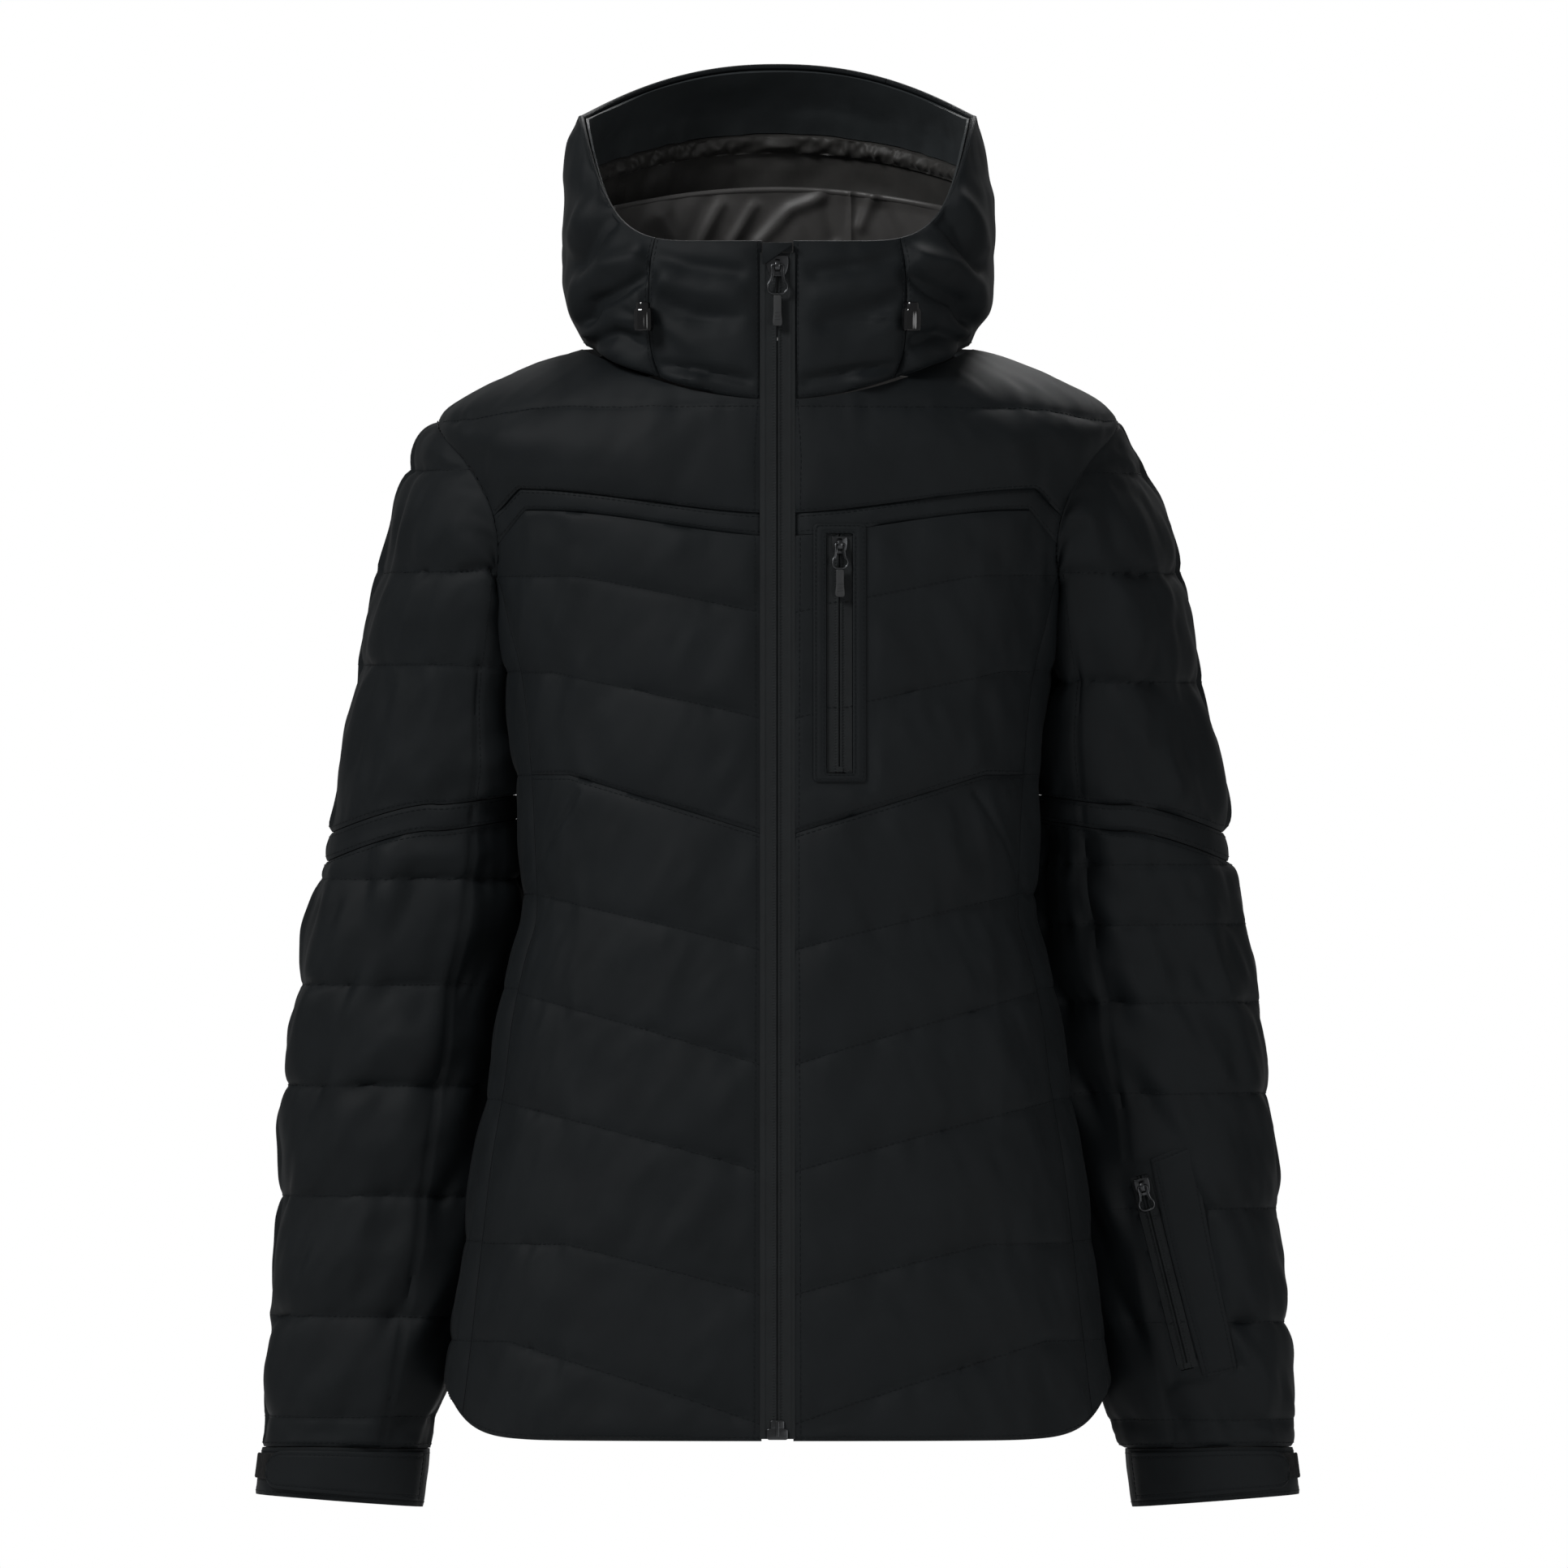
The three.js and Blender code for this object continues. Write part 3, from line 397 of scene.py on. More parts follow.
finishes = {
    "shell": {"weave": 900.0, "tone": 30.0,
        "dark": (0.0040, 0.0053, 0.0062), "light": (0.0056, 0.0072, 0.0083),
        "rough": (0.50, 0.62), "bump": 0.35, "sheen": 0.012, "specular": 0.13},
    "lining": {"weave": 1400.0, "tone": 45.0,
        "dark": (0.034, 0.0325, 0.0315), "light": (0.047, 0.0450, 0.0436),
        "rough": (0.42, 0.55), "bump": 0.15, "sheen": 0.12, "specular": 0.5},
    "tape": {"weave": 1300.0, "tone": 60.0,
        "dark": (0.0064, 0.0078, 0.0086), "light": (0.0098, 0.0116, 0.0126),
        "rough": (0.6, 0.75), "bump": 0.5, "sheen": 0.02, "specular": 0.2},
    # hood lining and channel: the lining's colours darkened to about six tenths, with less sheen and shine;
    # painted shade standing in for the shadow inside the hood
    "hood_lining_painted_shade": {"weave": 1400.0, "tone": 45.0,
        "dark": (0.0200, 0.0195, 0.0186), "light": (0.0300, 0.0288, 0.0272),
        "rough": (0.45, 0.58), "bump": 0.15, "sheen": 0.04, "specular": 0.25},
    # brim facing: the shell's colours lightened about four times, with more sheen and shine; painted light where
    # the lamps leave the inside of the brim in shade
    "brim_painted_light": {"weave": 900.0, "tone": 30.0,
        "dark": (0.0170, 0.0200, 0.0215), "light": (0.0230, 0.0265, 0.0285),
        "rough": (0.50, 0.62), "bump": 0.35, "sheen": 0.02, "specular": 0.2},
    "pile": {"weave": 500.0, "tone": 200.0, "dark": (0.004, 0.004, 0.004), "light": (0.012, 0.012, 0.012),
             "rough": (0.85, 0.95), "bump": 0.8, "sheen": 0.0, "specular": 0.3},
}
shellCloth = wovenMaterial("shell_cloth", finishes["shell"])
liningCloth = wovenMaterial("lining_cloth", finishes["lining"])
tapeCloth = wovenMaterial("tape_cloth", finishes["tape"])
pileCloth = wovenMaterial("pile_cloth", finishes["pile"])
# a darker copy of the lining cloth: painted shade for the inside of the hood
hoodLiningPaintedShade = wovenMaterial("hood_lining_painted_shade", finishes["hood_lining_painted_shade"])
# a lighter copy of the shell cloth: painted light for the brim facing
brimClothPaintedLight = wovenMaterial("brim_cloth_painted_light", finishes["brim_painted_light"])
gunmetal = plainMaterial("gunmetal", {"grain": 400.0, "rough": (0.22, 0.38), "bump": 0.1,
                                      "colour": (0.062, 0.064, 0.067), "metal": 1.0})
pullRubber = plainMaterial("pull_rubber", {"grain": 900.0, "rough": (0.5, 0.62), "bump": 0.25,
                                           "colour": (0.0105, 0.0115, 0.0125), "metal": 0.0})
lockPlastic = plainMaterial("lock_plastic", {"grain": 300.0, "rough": (0.09, 0.16), "bump": 0.05,
                                             "colour": (0.003, 0.003, 0.0034), "metal": 0.0})
print("materials made")

# cloth surfaces
def pillows(height, lines, low, high, puff):
    # bulge between neighbouring seams: steep at the seams, flat on top, a little fuller below
    marks = np.sort(np.stack([low, *lines, high]), axis=0)
    dome, near = np.zeros(height.shape), np.full(height.shape, 1e3)
    for a, b in zip(marks[:-1], marks[1:]):
        inside = (height >= a) & (height <= b) & (b > a + 1e-6)
        t = np.clip((height - a) / np.maximum(b - a, 1e-6), 0, 1)
        t = t + 0.12 * np.sin(np.pi * t) * (1 - t)
        shape = np.minimum(1, (b - a) / 45) * (4 * t * (1 - t)) ** 0.55
        dome = np.where(inside, shape, dome)
        near = np.where(inside, np.minimum(height - a, b - height), near)
    return puff * dome, near


def puckers(along, near, seed, amount):
    # creases that leave a stitched line at right angles and die out within a thumb's width
    short = valueNoise(along / 7.5, near * 0 + 3.3, seed) * np.exp(-near / 9)
    broad = valueNoise(along / 17, near / 60, seed + 5) * np.exp(-near / 24)
    return amount * (1.0 * short + 2.0 * broad)


def edgeFall(distance, reach):
    return 1 - np.exp(-np.maximum(distance, 0) / reach)


def shares(across, up):
    s = np.linspace(0, 1, across + 1)[None, :] + np.zeros((up + 1, 1))
    t = np.linspace(0, 1, up + 1)[:, None] + np.zeros((1, across + 1))
    return s, t


padSettings = {
    "spacing": 2.2, "sink": 1.1, "puff": 3.3, "pucker": 0.95, "fold": 2.1,
    "thick": 7.4, "reach": 7.0,
}


def foldField(x, z, folds):
    # ridges and creases drawn as lines of (x, z) points, each with a height and a width
    total = np.zeros(x.shape)
    for line, height, width in folds:
        near = np.full(x.shape, 1e3)
        for (x0, z0), (x1, z1) in zip(line[:-1], line[1:]):
            dx, dz = x1 - x0, z1 - z0
            t = np.clip(((x - x0) * dx + (z - z0) * dz) / (dx * dx + dz * dz), 0, 1)
            near = np.minimum(near, np.hypot(x - x0 - t * dx, z - z0 - t * dz))
        total = total + height * np.exp(-(near / width) ** 2)
    return total


def flatUnder(place, left, right, top, foot, ease=9.0):
    # nought inside a rectangle of a zip's frame, one well clear of it
    def share(base):
        x, depth, z = np.moveaxis(intoFrame(base, place), -1, 0)
        beyond = np.maximum(np.maximum(left - x, x - right), np.maximum(z - top, foot - z))
        return np.where(np.abs(depth) < 30, smooth(beyond / ease), 1.0)
    return share


def quilted(kind, place, size, lines, seed, wrap=False, sides=(True, True), extra=None,
            flat=None, boost=None, **changes):
    # padded panel over a surface; lines are the heights of its quilt seams against the distance from centre
    s = dict(padSettings, **changes)
    surface, stepU, stepV = steps[kind]
    across, up = (max(6, int(length / s["spacing"])) for length in size)
    shareS, shareT = shares(across, up)
    if wrap:
        shareS, shareT = shareS[:, :-1], shareT[:, :-1]
    u, v = place(shareS, shareT)
    base = surface(u, v)
    normal = outward(surface, u, v, stepU, stepV)
    x, z = np.abs(base[..., 0]), base[..., 2]
    low, high = np.broadcast_to(z[:1], z.shape), np.broadcast_to(z[-1:], z.shape)
    low, high = np.minimum(low, high), np.maximum(low, high)
    dome, near = pillows(z, [line(x) for line in lines], low, high, s["puff"])
    step = np.linalg.norm(np.diff(base, axis=1), axis=-1)
    arc = np.concatenate([np.zeros((len(base), 1)), np.cumsum(step, 1)], 1)
    hold = np.ones(z.shape)
    if not wrap:
        hold = edgeFall(arc, s["reach"]) if sides[0] else hold
        hold = hold * edgeFall(arc[:, -1:] - arc, s["reach"]) if sides[1] else hold
    ring = None
    if kind == "body":
        offset = (base[..., 1:] - [cut["armY"], cut["armZ"]]) / [cut["armDepth"], cut["armHeight"]]
        ring = np.where(x > 110, np.linalg.norm(offset, axis=-1), 9)
        hold = hold * edgeFall((ring - 1) * 65, 4.0)
    folds = puckers(arc, near, seed, s["pucker"] * (1 if boost is None else boost(u)))
    slantU, slantV = (x * 0.9 + z * 0.45 + base[..., 1]) / 36, (z * 0.9 - x * 0.35) / 74
    folds = folds + s["fold"] * layered(slantU, slantV, seed + 30) * edgeFall(near, 8)
    if extra is not None:
        folds = folds + extra(u, v, base, near)
    folds = folds * edgeFall(np.minimum(z - low, high - z), 3.5)
    sink = s["sink"] * (smooth((ring - 1) * 65 / 9) if ring is not None else 1)
    if kind == "sleeve":
        inner = smooth((np.cos(np.radians(u + 180)) + 0.35) / 1.1)
        sink = sink * smooth((v - 0.004) / 0.02) * (1 - 0.8 * inner)
    depth = (dome + folds) * hold - sink
    if kind == "sleeve":
        depth = depth + 2.5 * inner * np.exp(-((z - 462) / 30) ** 2)
    depth = np.maximum(depth, 1.6 - s["thick"])
    if flat is not None:
        depth = depth * flat(base)
    front = base + normal * depth[..., None]
    back = base - normal * s["thick"]
    return {"base": base, "normal": normal, "front": front, "back": back, "near": near, "arc": arc,
            "faces": gridFaces(*z.shape, wrap), "ring": ring, "sink": s["sink"], "lines": lines, "wrap": wrap}


def openArmhole(panel):
    # drop the faces inside the armhole's oval and bring the points on its edge onto it
    ring, faces = panel["ring"], panel["faces"]
    inside = (ring < 1).ravel()
    panel["faces"] = faces[~inside[faces].all(axis=1)]
    base = panel["base"].reshape(-1, 3)
    move = np.where(inside)[0]
    forward = (cut["armY"] - base[move, 1]) / cut["armDepth"]
    angle = np.arctan2(forward, (base[move, 2] - cut["armZ"]) / cut["armHeight"])
    ones = np.ones(len(move))
    onRing = armholeRing(angle) * np.stack([np.sign(base[move, 0]), ones, ones], -1)
    normal = panel["normal"].reshape(-1, 3)[move]
    panel["front"].reshape(-1, 3)[move] = onRing - normal * panel["sink"]
    panel["back"].reshape(-1, 3)[move] = onRing - normal * 7.4
    return panel


def intoFrame(points, place):
    axes, top = place
    return (points - top) @ axes.T


def openWindow(panel, place, halfWidth, length, level):
    # drop the faces inside a zip's window and square up its edge
    local = intoFrame(panel["base"].reshape(-1, 3), place)
    x, depth, z = local.T
    inside = (np.abs(x) < halfWidth) & (z < 0) & (z > -length) & (np.abs(depth) < 25)
    faces = panel["faces"]
    panel["faces"] = faces[~inside[faces].all(axis=1)]
    toSide = halfWidth - np.abs(x)
    toEnd = np.minimum(-z, z + length)
    sideways = np.where(inside & (toSide <= toEnd), np.sign(x) * toSide, 0)
    endways = np.where(inside & (toSide > toEnd), np.where(-z < z + length, -z, -(z + length)), 0)
    move = sideways[:, None] * place[0][0] + endways[:, None] * place[0][2]
    reach = np.maximum(np.abs(x) - halfWidth, np.maximum(z, -length - z))
    ease = np.where(np.abs(depth) < 25, np.exp(-np.maximum(reach, 0) / 9), 0)[:, None]
    flat = (panel["base"] + panel["normal"] * level).reshape(-1, 3)
    front = panel["front"].reshape(-1, 3)
    panel["front"] = (mix(front, flat, ease) + move).reshape(panel["front"].shape)
    panel["back"] = (panel["back"].reshape(-1, 3) + move).reshape(panel["back"].shape)
    return panel


def lineStitches(panel, heights, shift=0.0, **sizes):
    # stitches down in a quilt line: where each column of the grid crosses that height
    z = panel["base"][..., 2]
    x = np.abs(panel["base"][..., 0])
    target = heights(x) + shift
    cross = (z[:-1] - target[:-1]) * (z[1:] - target[1:]) <= 0
    row = np.argmax(cross, axis=0)
    columns = np.arange(z.shape[1])
    good = cross.any(axis=0)
    if panel["ring"] is not None:
        good &= panel["ring"][row, columns] > 1.05
    parts = []
    breaks = np.flatnonzero(np.diff(np.flatnonzero(good)) > 1) + 1
    for run in np.split(np.flatnonzero(good), breaks):
        if len(run) < 4:
            continue
        r = row[run]
        gap = z[r + 1, run] - z[r, run]
        t = np.where(np.abs(gap) > 1e-9, (target[r, run] - z[r, run]) / gap, 0)[:, None]
        path = mix(panel["front"][r, run], panel["front"][r + 1, run], t)
        parts.append(dashes(path, panel["normal"][r, run], **sizes))
    return parts


def edgeStitches(panel, side, inset=2.4, **sizes):
    # topstitching beside one edge of a panel: 'low', 'high', 'start' or 'end'
    front, normal = panel["front"], panel["normal"]
    rows = side in ("low", "high")
    lines = front if rows else front.transpose(1, 0, 2)
    ways = normal if rows else normal.transpose(1, 0, 2)
    if side in ("high", "end"):
        lines, ways = lines[::-1], ways[::-1]
    step = np.linalg.norm(np.diff(lines, axis=0), axis=-1).mean()
    at = inset / step
    k = int(at)
    path = mix(lines[k], lines[k + 1], at - k)
    keep = np.ones(len(path), bool)
    if panel["ring"] is not None:
        ring = panel["ring"] if rows else panel["ring"].T
        ring = ring[::-1] if side in ("high", "end") else ring
        keep = ring[k] > 1.03
    parts = []
    runs = np.split(np.flatnonzero(keep), np.flatnonzero(np.diff(np.flatnonzero(keep)) > 1) + 1)
    for run in runs:
        if len(run) > 3:
            parts.append(dashes(path[run], ways[k][run], **sizes))
    return parts


shellObjects = {}


def finishPanel(name, panel, material, stitches=(), side=1, more=()):
    part = joined(closedBetween(panel["front"], panel["back"], panel["faces"]), *stitches, *more)
    if side < 0:
        part = mirrorPart(part)
    obj = meshFrom(name + "_cloth", part, material)
    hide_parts(name)
    shellObjects[name] = obj
    return obj


# body panels
def bandHeight(width):
    return 605 + 16 * smooth(width / 0.75) - 36 * np.maximum(0, (width - 0.8) / 0.2)


def seamHeight(width):
    return 412 + 39 * np.minimum(width / 0.8, 1)


def rising(centre, side, reach):
    # a quilt line that climbs from the centre front and levels off at reach
    return lambda x: centre + (side - centre) * np.minimum(x / reach, 1) ** 0.92


def levelLine(height):
    return lambda x: height + 0 * x


frontLines = [rising(50, 104, 165), rising(130, 164, 130), rising(205, 252, 174), rising(270, 320, 169),
              rising(341, 378, 150)]
chestLines = [rising(483, 514, 139), rising(548, 573, 122)]
yokeLines = [lambda x: 677 - 8 * smooth((x - 140) / 70)]
sideLines = [levelLine(h) for h in (104, 165, 252, 320, 378, 451, 515, 571)]
backLines = [lambda x, h=h: h - 7 * (1 - np.minimum(x / 150, 1) ** 2)
             for h in (104, 165, 252, 320, 378, 451, 515, 571)]
backYokeLines = [lambda x: 660 + 0 * x]


def bodyPlace(turnLow, turnHigh, low, high):
    # turns run evenly between the panel's upright edges, heights between its two seams
    def place(s, t):
        start = turnLow
        if turnLow is None:
            start = turnAt(cut["placket"] + 0.3, mix(low(0.08), high(0.08), t))
        turn = mix(start, turnHigh, s)
        width = np.abs(bend(np.sin(np.radians(turn)), 2 / cut["roundBody"]))
        return turn, mix(low(width), high(width), t)
    return place


half = 0.15
gapTurn = 0.12
hem, neck = cut["hemHeight"], cut["neckHeight"]
band = 7.5


def flatHem(u, v, base, near):
    # gathers at the hem, which is turned up and stitched
    lift = base[..., 2] - base[..., 2].min(axis=0, keepdims=True)
    dart = foldField(np.abs(base[..., 0]), base[..., 2], [(((121, 440), (138, 410), (154, 377)), -1.6, 1.8)])
    dart = np.where(base[..., 1] < 0, dart, 0)
    return 0.9 * valueNoise(base[..., 0] / 9, base[..., 1] / 9, 71) * np.exp(-lift / 12) + dart


bodyPieces = [
    ("lower_front", (None, 70 - gapTurn), (lambda w: hem + 0 * w), (lambda w: seamHeight(w) - half),
     (185, 385), frontLines, {"extra": flatHem}),
    ("chest_panel", (None, 70 - gapTurn), (lambda w: seamHeight(w) + half),
     (lambda w: bandHeight(w) - band - half),
     (185, 175), chestLines, {}),
    ("yoke_welt", (None, 70 - gapTurn), (lambda w: bandHeight(w) - band + half),
     (lambda w: bandHeight(w) + band - half),
     (190, 15), [], {"puff": 4.6, "sink": 2.6, "spacing": 1.6, "pucker": 0.5, "fold": 0.3}),
    ("front_yoke", (None, 90 - gapTurn), (lambda w: bandHeight(w) + band + half), (lambda w: neck + 0 * w),
     (205, 115), yokeLines, {"pucker": 0.7, "fold": 1.5}),
    ("side_panel", (70 + gapTurn, 110 - gapTurn), (lambda w: hem + 0 * w),
     (lambda w: cut["backYoke"] - half + 0 * w), (120, 525), sideLines, {"extra": flatHem}),
]
stitchedEdges = {"lower_front": ("low", "high", "start"), "chest_panel": ("low", "start"),
                 "yoke_welt": ("low", "high"), "front_yoke": ("low", "start"), "side_panel": ("low",)}


def zipPlace(top, foot, outwardWay):
    up = spin(top - foot, -1)
    across = spin(np.cross(up, outwardWay), -1)
    return np.stack([across, np.cross(up, across), up]), top


def bodyPoint(x, height):
    turn = turnAt(x, height)
    return bodySurface(turn, height), outward(bodySurface, turn, height, 0.5, 0.5)


chestZip = {"across": 38.0, "top": 599.0, "foot": 452.0}    # from the middle, and above the cuff ends
chestTop = bodyPoint(chestZip["across"], chestZip["top"])[0]
chestFoot = bodyPoint(chestZip["across"], chestZip["foot"])[0]
chestMiddle = (chestZip["top"] + chestZip["foot"]) / 2
chestFrame = zipPlace(chestTop, chestFoot, bodyPoint(chestZip["across"], chestMiddle)[1])
chestLength = float(np.linalg.norm(chestTop - chestFoot))
mainTop = np.array([0, frontLine(cut["zipTop"]), cut["zipTop"]])
mainFoot = np.array([0, frontLine(cut["zipFoot"]), cut["zipFoot"]])
mainFrame = zipPlace(mainTop, mainFoot, np.array([0.0, -1.0, 0.0]))
mainLength = float(np.linalg.norm(mainTop - mainFoot))

for side, label in ((1, "left"), (-1, "right")):
    for k, (name, turns, low, high, size, lines, changes) in enumerate(bodyPieces):
        underFrame = flatUnder(chestFrame, -17.5, 17.5, 7.5, -chestLength - 6.5) if side > 0 else None
        seed = 11 + 7 * k + (3 if side < 0 else 0)
        panel = quilted("body", bodyPlace(*turns, low, high), size, lines, seed, flat=underFrame, **changes)
        if name != "lower_front":
            panel = openArmhole(panel)
        if name == "chest_panel" and side > 0:
            panel = openWindow(panel, chestFrame, 8.0, chestLength, -0.4)
        sewn = [part for line in lines for part in lineStitches(panel, line)]
        for edge in stitchedEdges[name]:
            sewn += edgeStitches(panel, edge)
        obj = finishPanel(f"{name}_{label}", panel, shellCloth, sewn, side)
        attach(obj, "body")
for name, turns, low, high, size, lines in (
        ("back_panel", (110 + gapTurn, 250 - gapTurn), (lambda w: hem + 0 * w),
         (lambda w: cut["backYoke"] - half + 0 * w), (400, 525), backLines),
        ("back_yoke", (90 + gapTurn, 270 - gapTurn), (lambda w: cut["backYoke"] + half + 0 * w),
         (lambda w: neck + 0 * w), (420, 118), backYokeLines)):
    panel = openArmhole(quilted("body", bodyPlace(*turns, low, high), size, lines, 61, spacing=2.6))
    sewn = [part for line in lines for part in lineStitches(panel, line)]
    sewn += edgeStitches(panel, "low")
    obj = finishPanel(name, panel, shellCloth, sewn)
    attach(obj, "body")
print("body panels made")

# sleeves
sleeveLines = {
    1: (637, 575, 508, 396, 359, 311, 255, 184, 114, 54),
    -1: (639, 576, 519, 387, 322, 260, 192, 118, 56),
}


def tilted(share, tilt):
    return lambda turn: share + tilt * np.cos(np.radians(turn))


def sleevePlace(low, high, start=0.0, end=-360.0):
    # t runs up the arm, so the lower edge has the larger share
    def place(s, t):
        turn = mix(start, end, s)
        return turn, mix(low(turn), high(turn), t)
    return place


def seamStitches(panel, turn):
    # topstitching down one column of the sleeve, from under the arm to the elbow
    cols = panel["front"].shape[1]
    column = int(round((-turn % 360) / 360 * cols)) % cols
    rows = np.flatnonzero(panel["base"][:, column, 2] < 640)
    return [dashes(panel["front"][rows, column], panel["normal"][rows, column])]


def elbowCreases(seed):
    # slanting creases on the inner side of the elbow and soft drag lines down the arm
    def creases(u, v, base, near):
        inner = smooth((np.cos(np.radians(u + 180)) + 0.5) / 1.2)
        seam = armSeam(u, v, base, near)
        bendZone = np.exp(-((base[..., 2] - 415) / 60) ** 2)
        slant = base[..., 2] + 0.35 * np.abs(base[..., 0])
        fold = valueNoise(slant / 15, base[..., 1] / 38, seed)
        drag = valueNoise(u / 26, v * 7, seed + 3)
        return 2.6 * inner * bendZone * fold + 2.0 * drag * edgeFall(near, 9) + seam
    return creases


elbowLow = tilted(cut["elbowAt"] + cut["elbowBand"], cut["elbowTilt"])
elbowHigh = tilted(cut["elbowAt"], cut["elbowTilt"])
cuffTop = tilted(cut["cuffAt"], cut["cuffTilt"])
gapShare = 0.0005


def moved(edge, by):
    return lambda turn: edge(turn) + by


def constant(share):
    return lambda turn: share + 0 * turn


sleevePocketTop = sleeveSurface(np.float64(107.0), np.float64(0.655))
sleevePocketFoot = sleeveSurface(np.float64(96.0), np.float64(0.863))
sleevePocketWay = outward(sleeveSurface, np.float64(101.5), np.float64(0.759), -1.0, -0.004)
sleeveFrame = zipPlace(sleevePocketTop, sleevePocketFoot, sleevePocketWay)
sleevePocketLength = float(np.linalg.norm(sleevePocketTop - sleevePocketFoot))

def followArm(obj):
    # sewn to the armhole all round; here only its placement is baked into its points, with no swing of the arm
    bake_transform(obj)


underFlap = flatUnder(sleeveFrame, -8.5, 28.0, 5.0, -sleevePocketLength - 4.0, 7.0)


def innerPucker(turn):
    # the seams gather most on the inside of the arm
    return 1.0 + 1.5 * smooth((np.cos(np.radians(turn + 180)) + 0.35) / 1.1)


def armSeam(u, v, base, near):
    # the sleeve's long seam, a narrow groove down its front inner side
    away = np.abs((u - cut["armSeamTurn"] + 180) % 360 - 180) * math.pi / 180 * 62
    return -1.7 * np.exp(-(away / 1.6) ** 2) * smooth((v - 0.10) / 0.04)


sleevePieces = [
    ("upper_sleeve", moved(elbowHigh, -gapShare), constant(0.004), (380, 205),
     {"spacing": 2.3, "puff": 4.6, "sink": 1.5, "pucker": 1.5, "fold": 3.9}),
    ("elbow_band", moved(elbowLow, -gapShare), moved(elbowHigh, gapShare), (330, 18),
     {"spacing": 1.7, "puff": 2.6, "sink": 1.5, "pucker": 0.4, "fold": 0.5}),
    ("lower_sleeve", moved(cuffTop, -gapShare), moved(elbowLow, gapShare), (340, 395),
     {"spacing": 2.3, "puff": 4.6, "sink": 1.5, "pucker": 1.5, "fold": 3.9}),
]
for side, label in ((1, "left"), (-1, "right")):
    body = f"sleeve_{label}"
    for k, (name, low, high, size, changes) in enumerate(sleevePieces):
        lines = [levelLine(h) for h in sleeveLines[side]] if name != "elbow_band" else []
        panel = quilted("sleeve", sleevePlace(low, high), size, lines, 101 + 9 * k + (4 if side < 0 else 0),
                        wrap=True, extra=elbowCreases(151 + side), thick=7.2, boost=innerPucker,
                        flat=underFlap if side > 0 else None, **changes)
        if name == "lower_sleeve" and side > 0:
            panel = openWindow(panel, sleeveFrame, 6.5, sleevePocketLength, -0.3)
        sewn = [part for line in lines for part in lineStitches(panel, line)]
        sewn += edgeStitches(panel, "low") + edgeStitches(panel, "high")
        if name == "upper_sleeve":
            sewn += seamStitches(panel, cut["armSeamTurn"] + 2.2)
        obj = finishPanel(f"{name}_{label}", panel, shellCloth, sewn, side)
        if name == "upper_sleeve":
            followArm(obj)
        else:
            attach(obj, body)
print("sleeves made")


# flat cloth pieces: cuffs, tabs, patches, flaps, linings and bags
def flatSheet(kind, place, size, spacing, face, thick, relief=None, wrap=False):
    # a thin sheet under a surface at depth face, with a relief added along the normals
    surface, stepU, stepV = steps[kind]
    across, up = (max(4, int(length / spacing)) for length in size)
    s, t = shares(across, up)
    if wrap:
        s, t = s[:, :-1], t[:, :-1]
    u, v = place(s, t)
    base = surface(u, v)
    normal = outward(surface, u, v, stepU, stepV)
    height = relief(s, t, u, v, base) if relief is not None else 0 * s
    draft = base - normal * face
    front = draft + normal * height[..., None]
    return {"base": base, "normal": normal, "front": front, "back": front - normal * thick, "ring": None,
            "draft": draft, "faces": gridFaces(*s.shape, wrap), "wrap": wrap}


def flatArea(panel):
    # square metres of the smooth draft, before any fold or relief, from its quads' diagonals
    corners = panel["draft"].reshape(-1, 3)[panel["faces"]]
    cross = np.cross(corners[:, 2] - corners[:, 0], corners[:, 3] - corners[:, 1])
    return float(np.linalg.norm(cross, axis=1).sum() / 2e6)


def spans(panel):
    # the cut sheet's width and length in metres: the longest row and column of its smooth draft
    draft = panel["draft"]
    around = np.concatenate([draft, draft[:, :1]], axis=1) if panel["wrap"] else draft
    rows = np.linalg.norm(np.diff(around, axis=1), axis=-1)
    columns = np.linalg.norm(np.diff(draft, axis=0), axis=-1)
    return float(rows.sum(1).max() / 1000), float(columns.sum(0).max() / 1000)


flatSizes = {}


def declareSheet(name, panel, fullness=1.0):
    # fullness is how much wider the cloth is cut than the strip it is gathered into
    width, length = spans(panel)
    width, area = width * fullness, flatArea(panel) * fullness
    flatSizes[name] = (round(width, 4), round(length, 4), round(area, 5))


def cuffRelief(s, t, u, v, base):
    seam = 0.5 * np.exp(-(t * 38) / 3) + 0.5 * np.exp(-((1 - t) * 38) / 3)
    return 0.7 * valueNoise(u / 11, t * 3, 201) * (1 - seam) - seam


def tabPlace(s, t):
    # the strip narrows to a half round at its free end
    turn = mix(158.0, 30.0, s)
    free = np.clip((s - 0.87) / 0.13, 0, 1)
    narrow = np.sqrt(np.maximum(1 - free ** 2, 0.03))
    middle = mix(0.993, cut["cuffAt"] + 0.004 + cut["cuffTilt"] * np.cos(np.radians(turn)), 0.5)
    halfHeight = 0.5 * (0.993 - cut["cuffAt"] - 0.004 - cut["cuffTilt"] * np.cos(np.radians(turn)))
    return turn, middle - halfHeight * narrow * (2 * t - 1)


def tabRelief(s, t, u, v, base):
    edge = np.minimum(np.minimum(t, 1 - t) * 30, np.minimum(s, 1 - s) * 102)
    groove = -0.45 * np.exp(-((edge - 2.6) / 0.8) ** 2)
    sewnDown = -1.9 * (1 - smooth(s / 0.12))
    return groove + sewnDown - 0.5 * np.exp(-edge / 0.7) + 0.25 * valueNoise(s * 9, t * 3, 207)


def patchPlace(s, t):
    turn = mix(44.0, -8.0, s)
    top = cut["cuffAt"] + 0.006 + cut["cuffTilt"] * np.cos(np.radians(turn))
    return turn, mix(0.985, top, t)


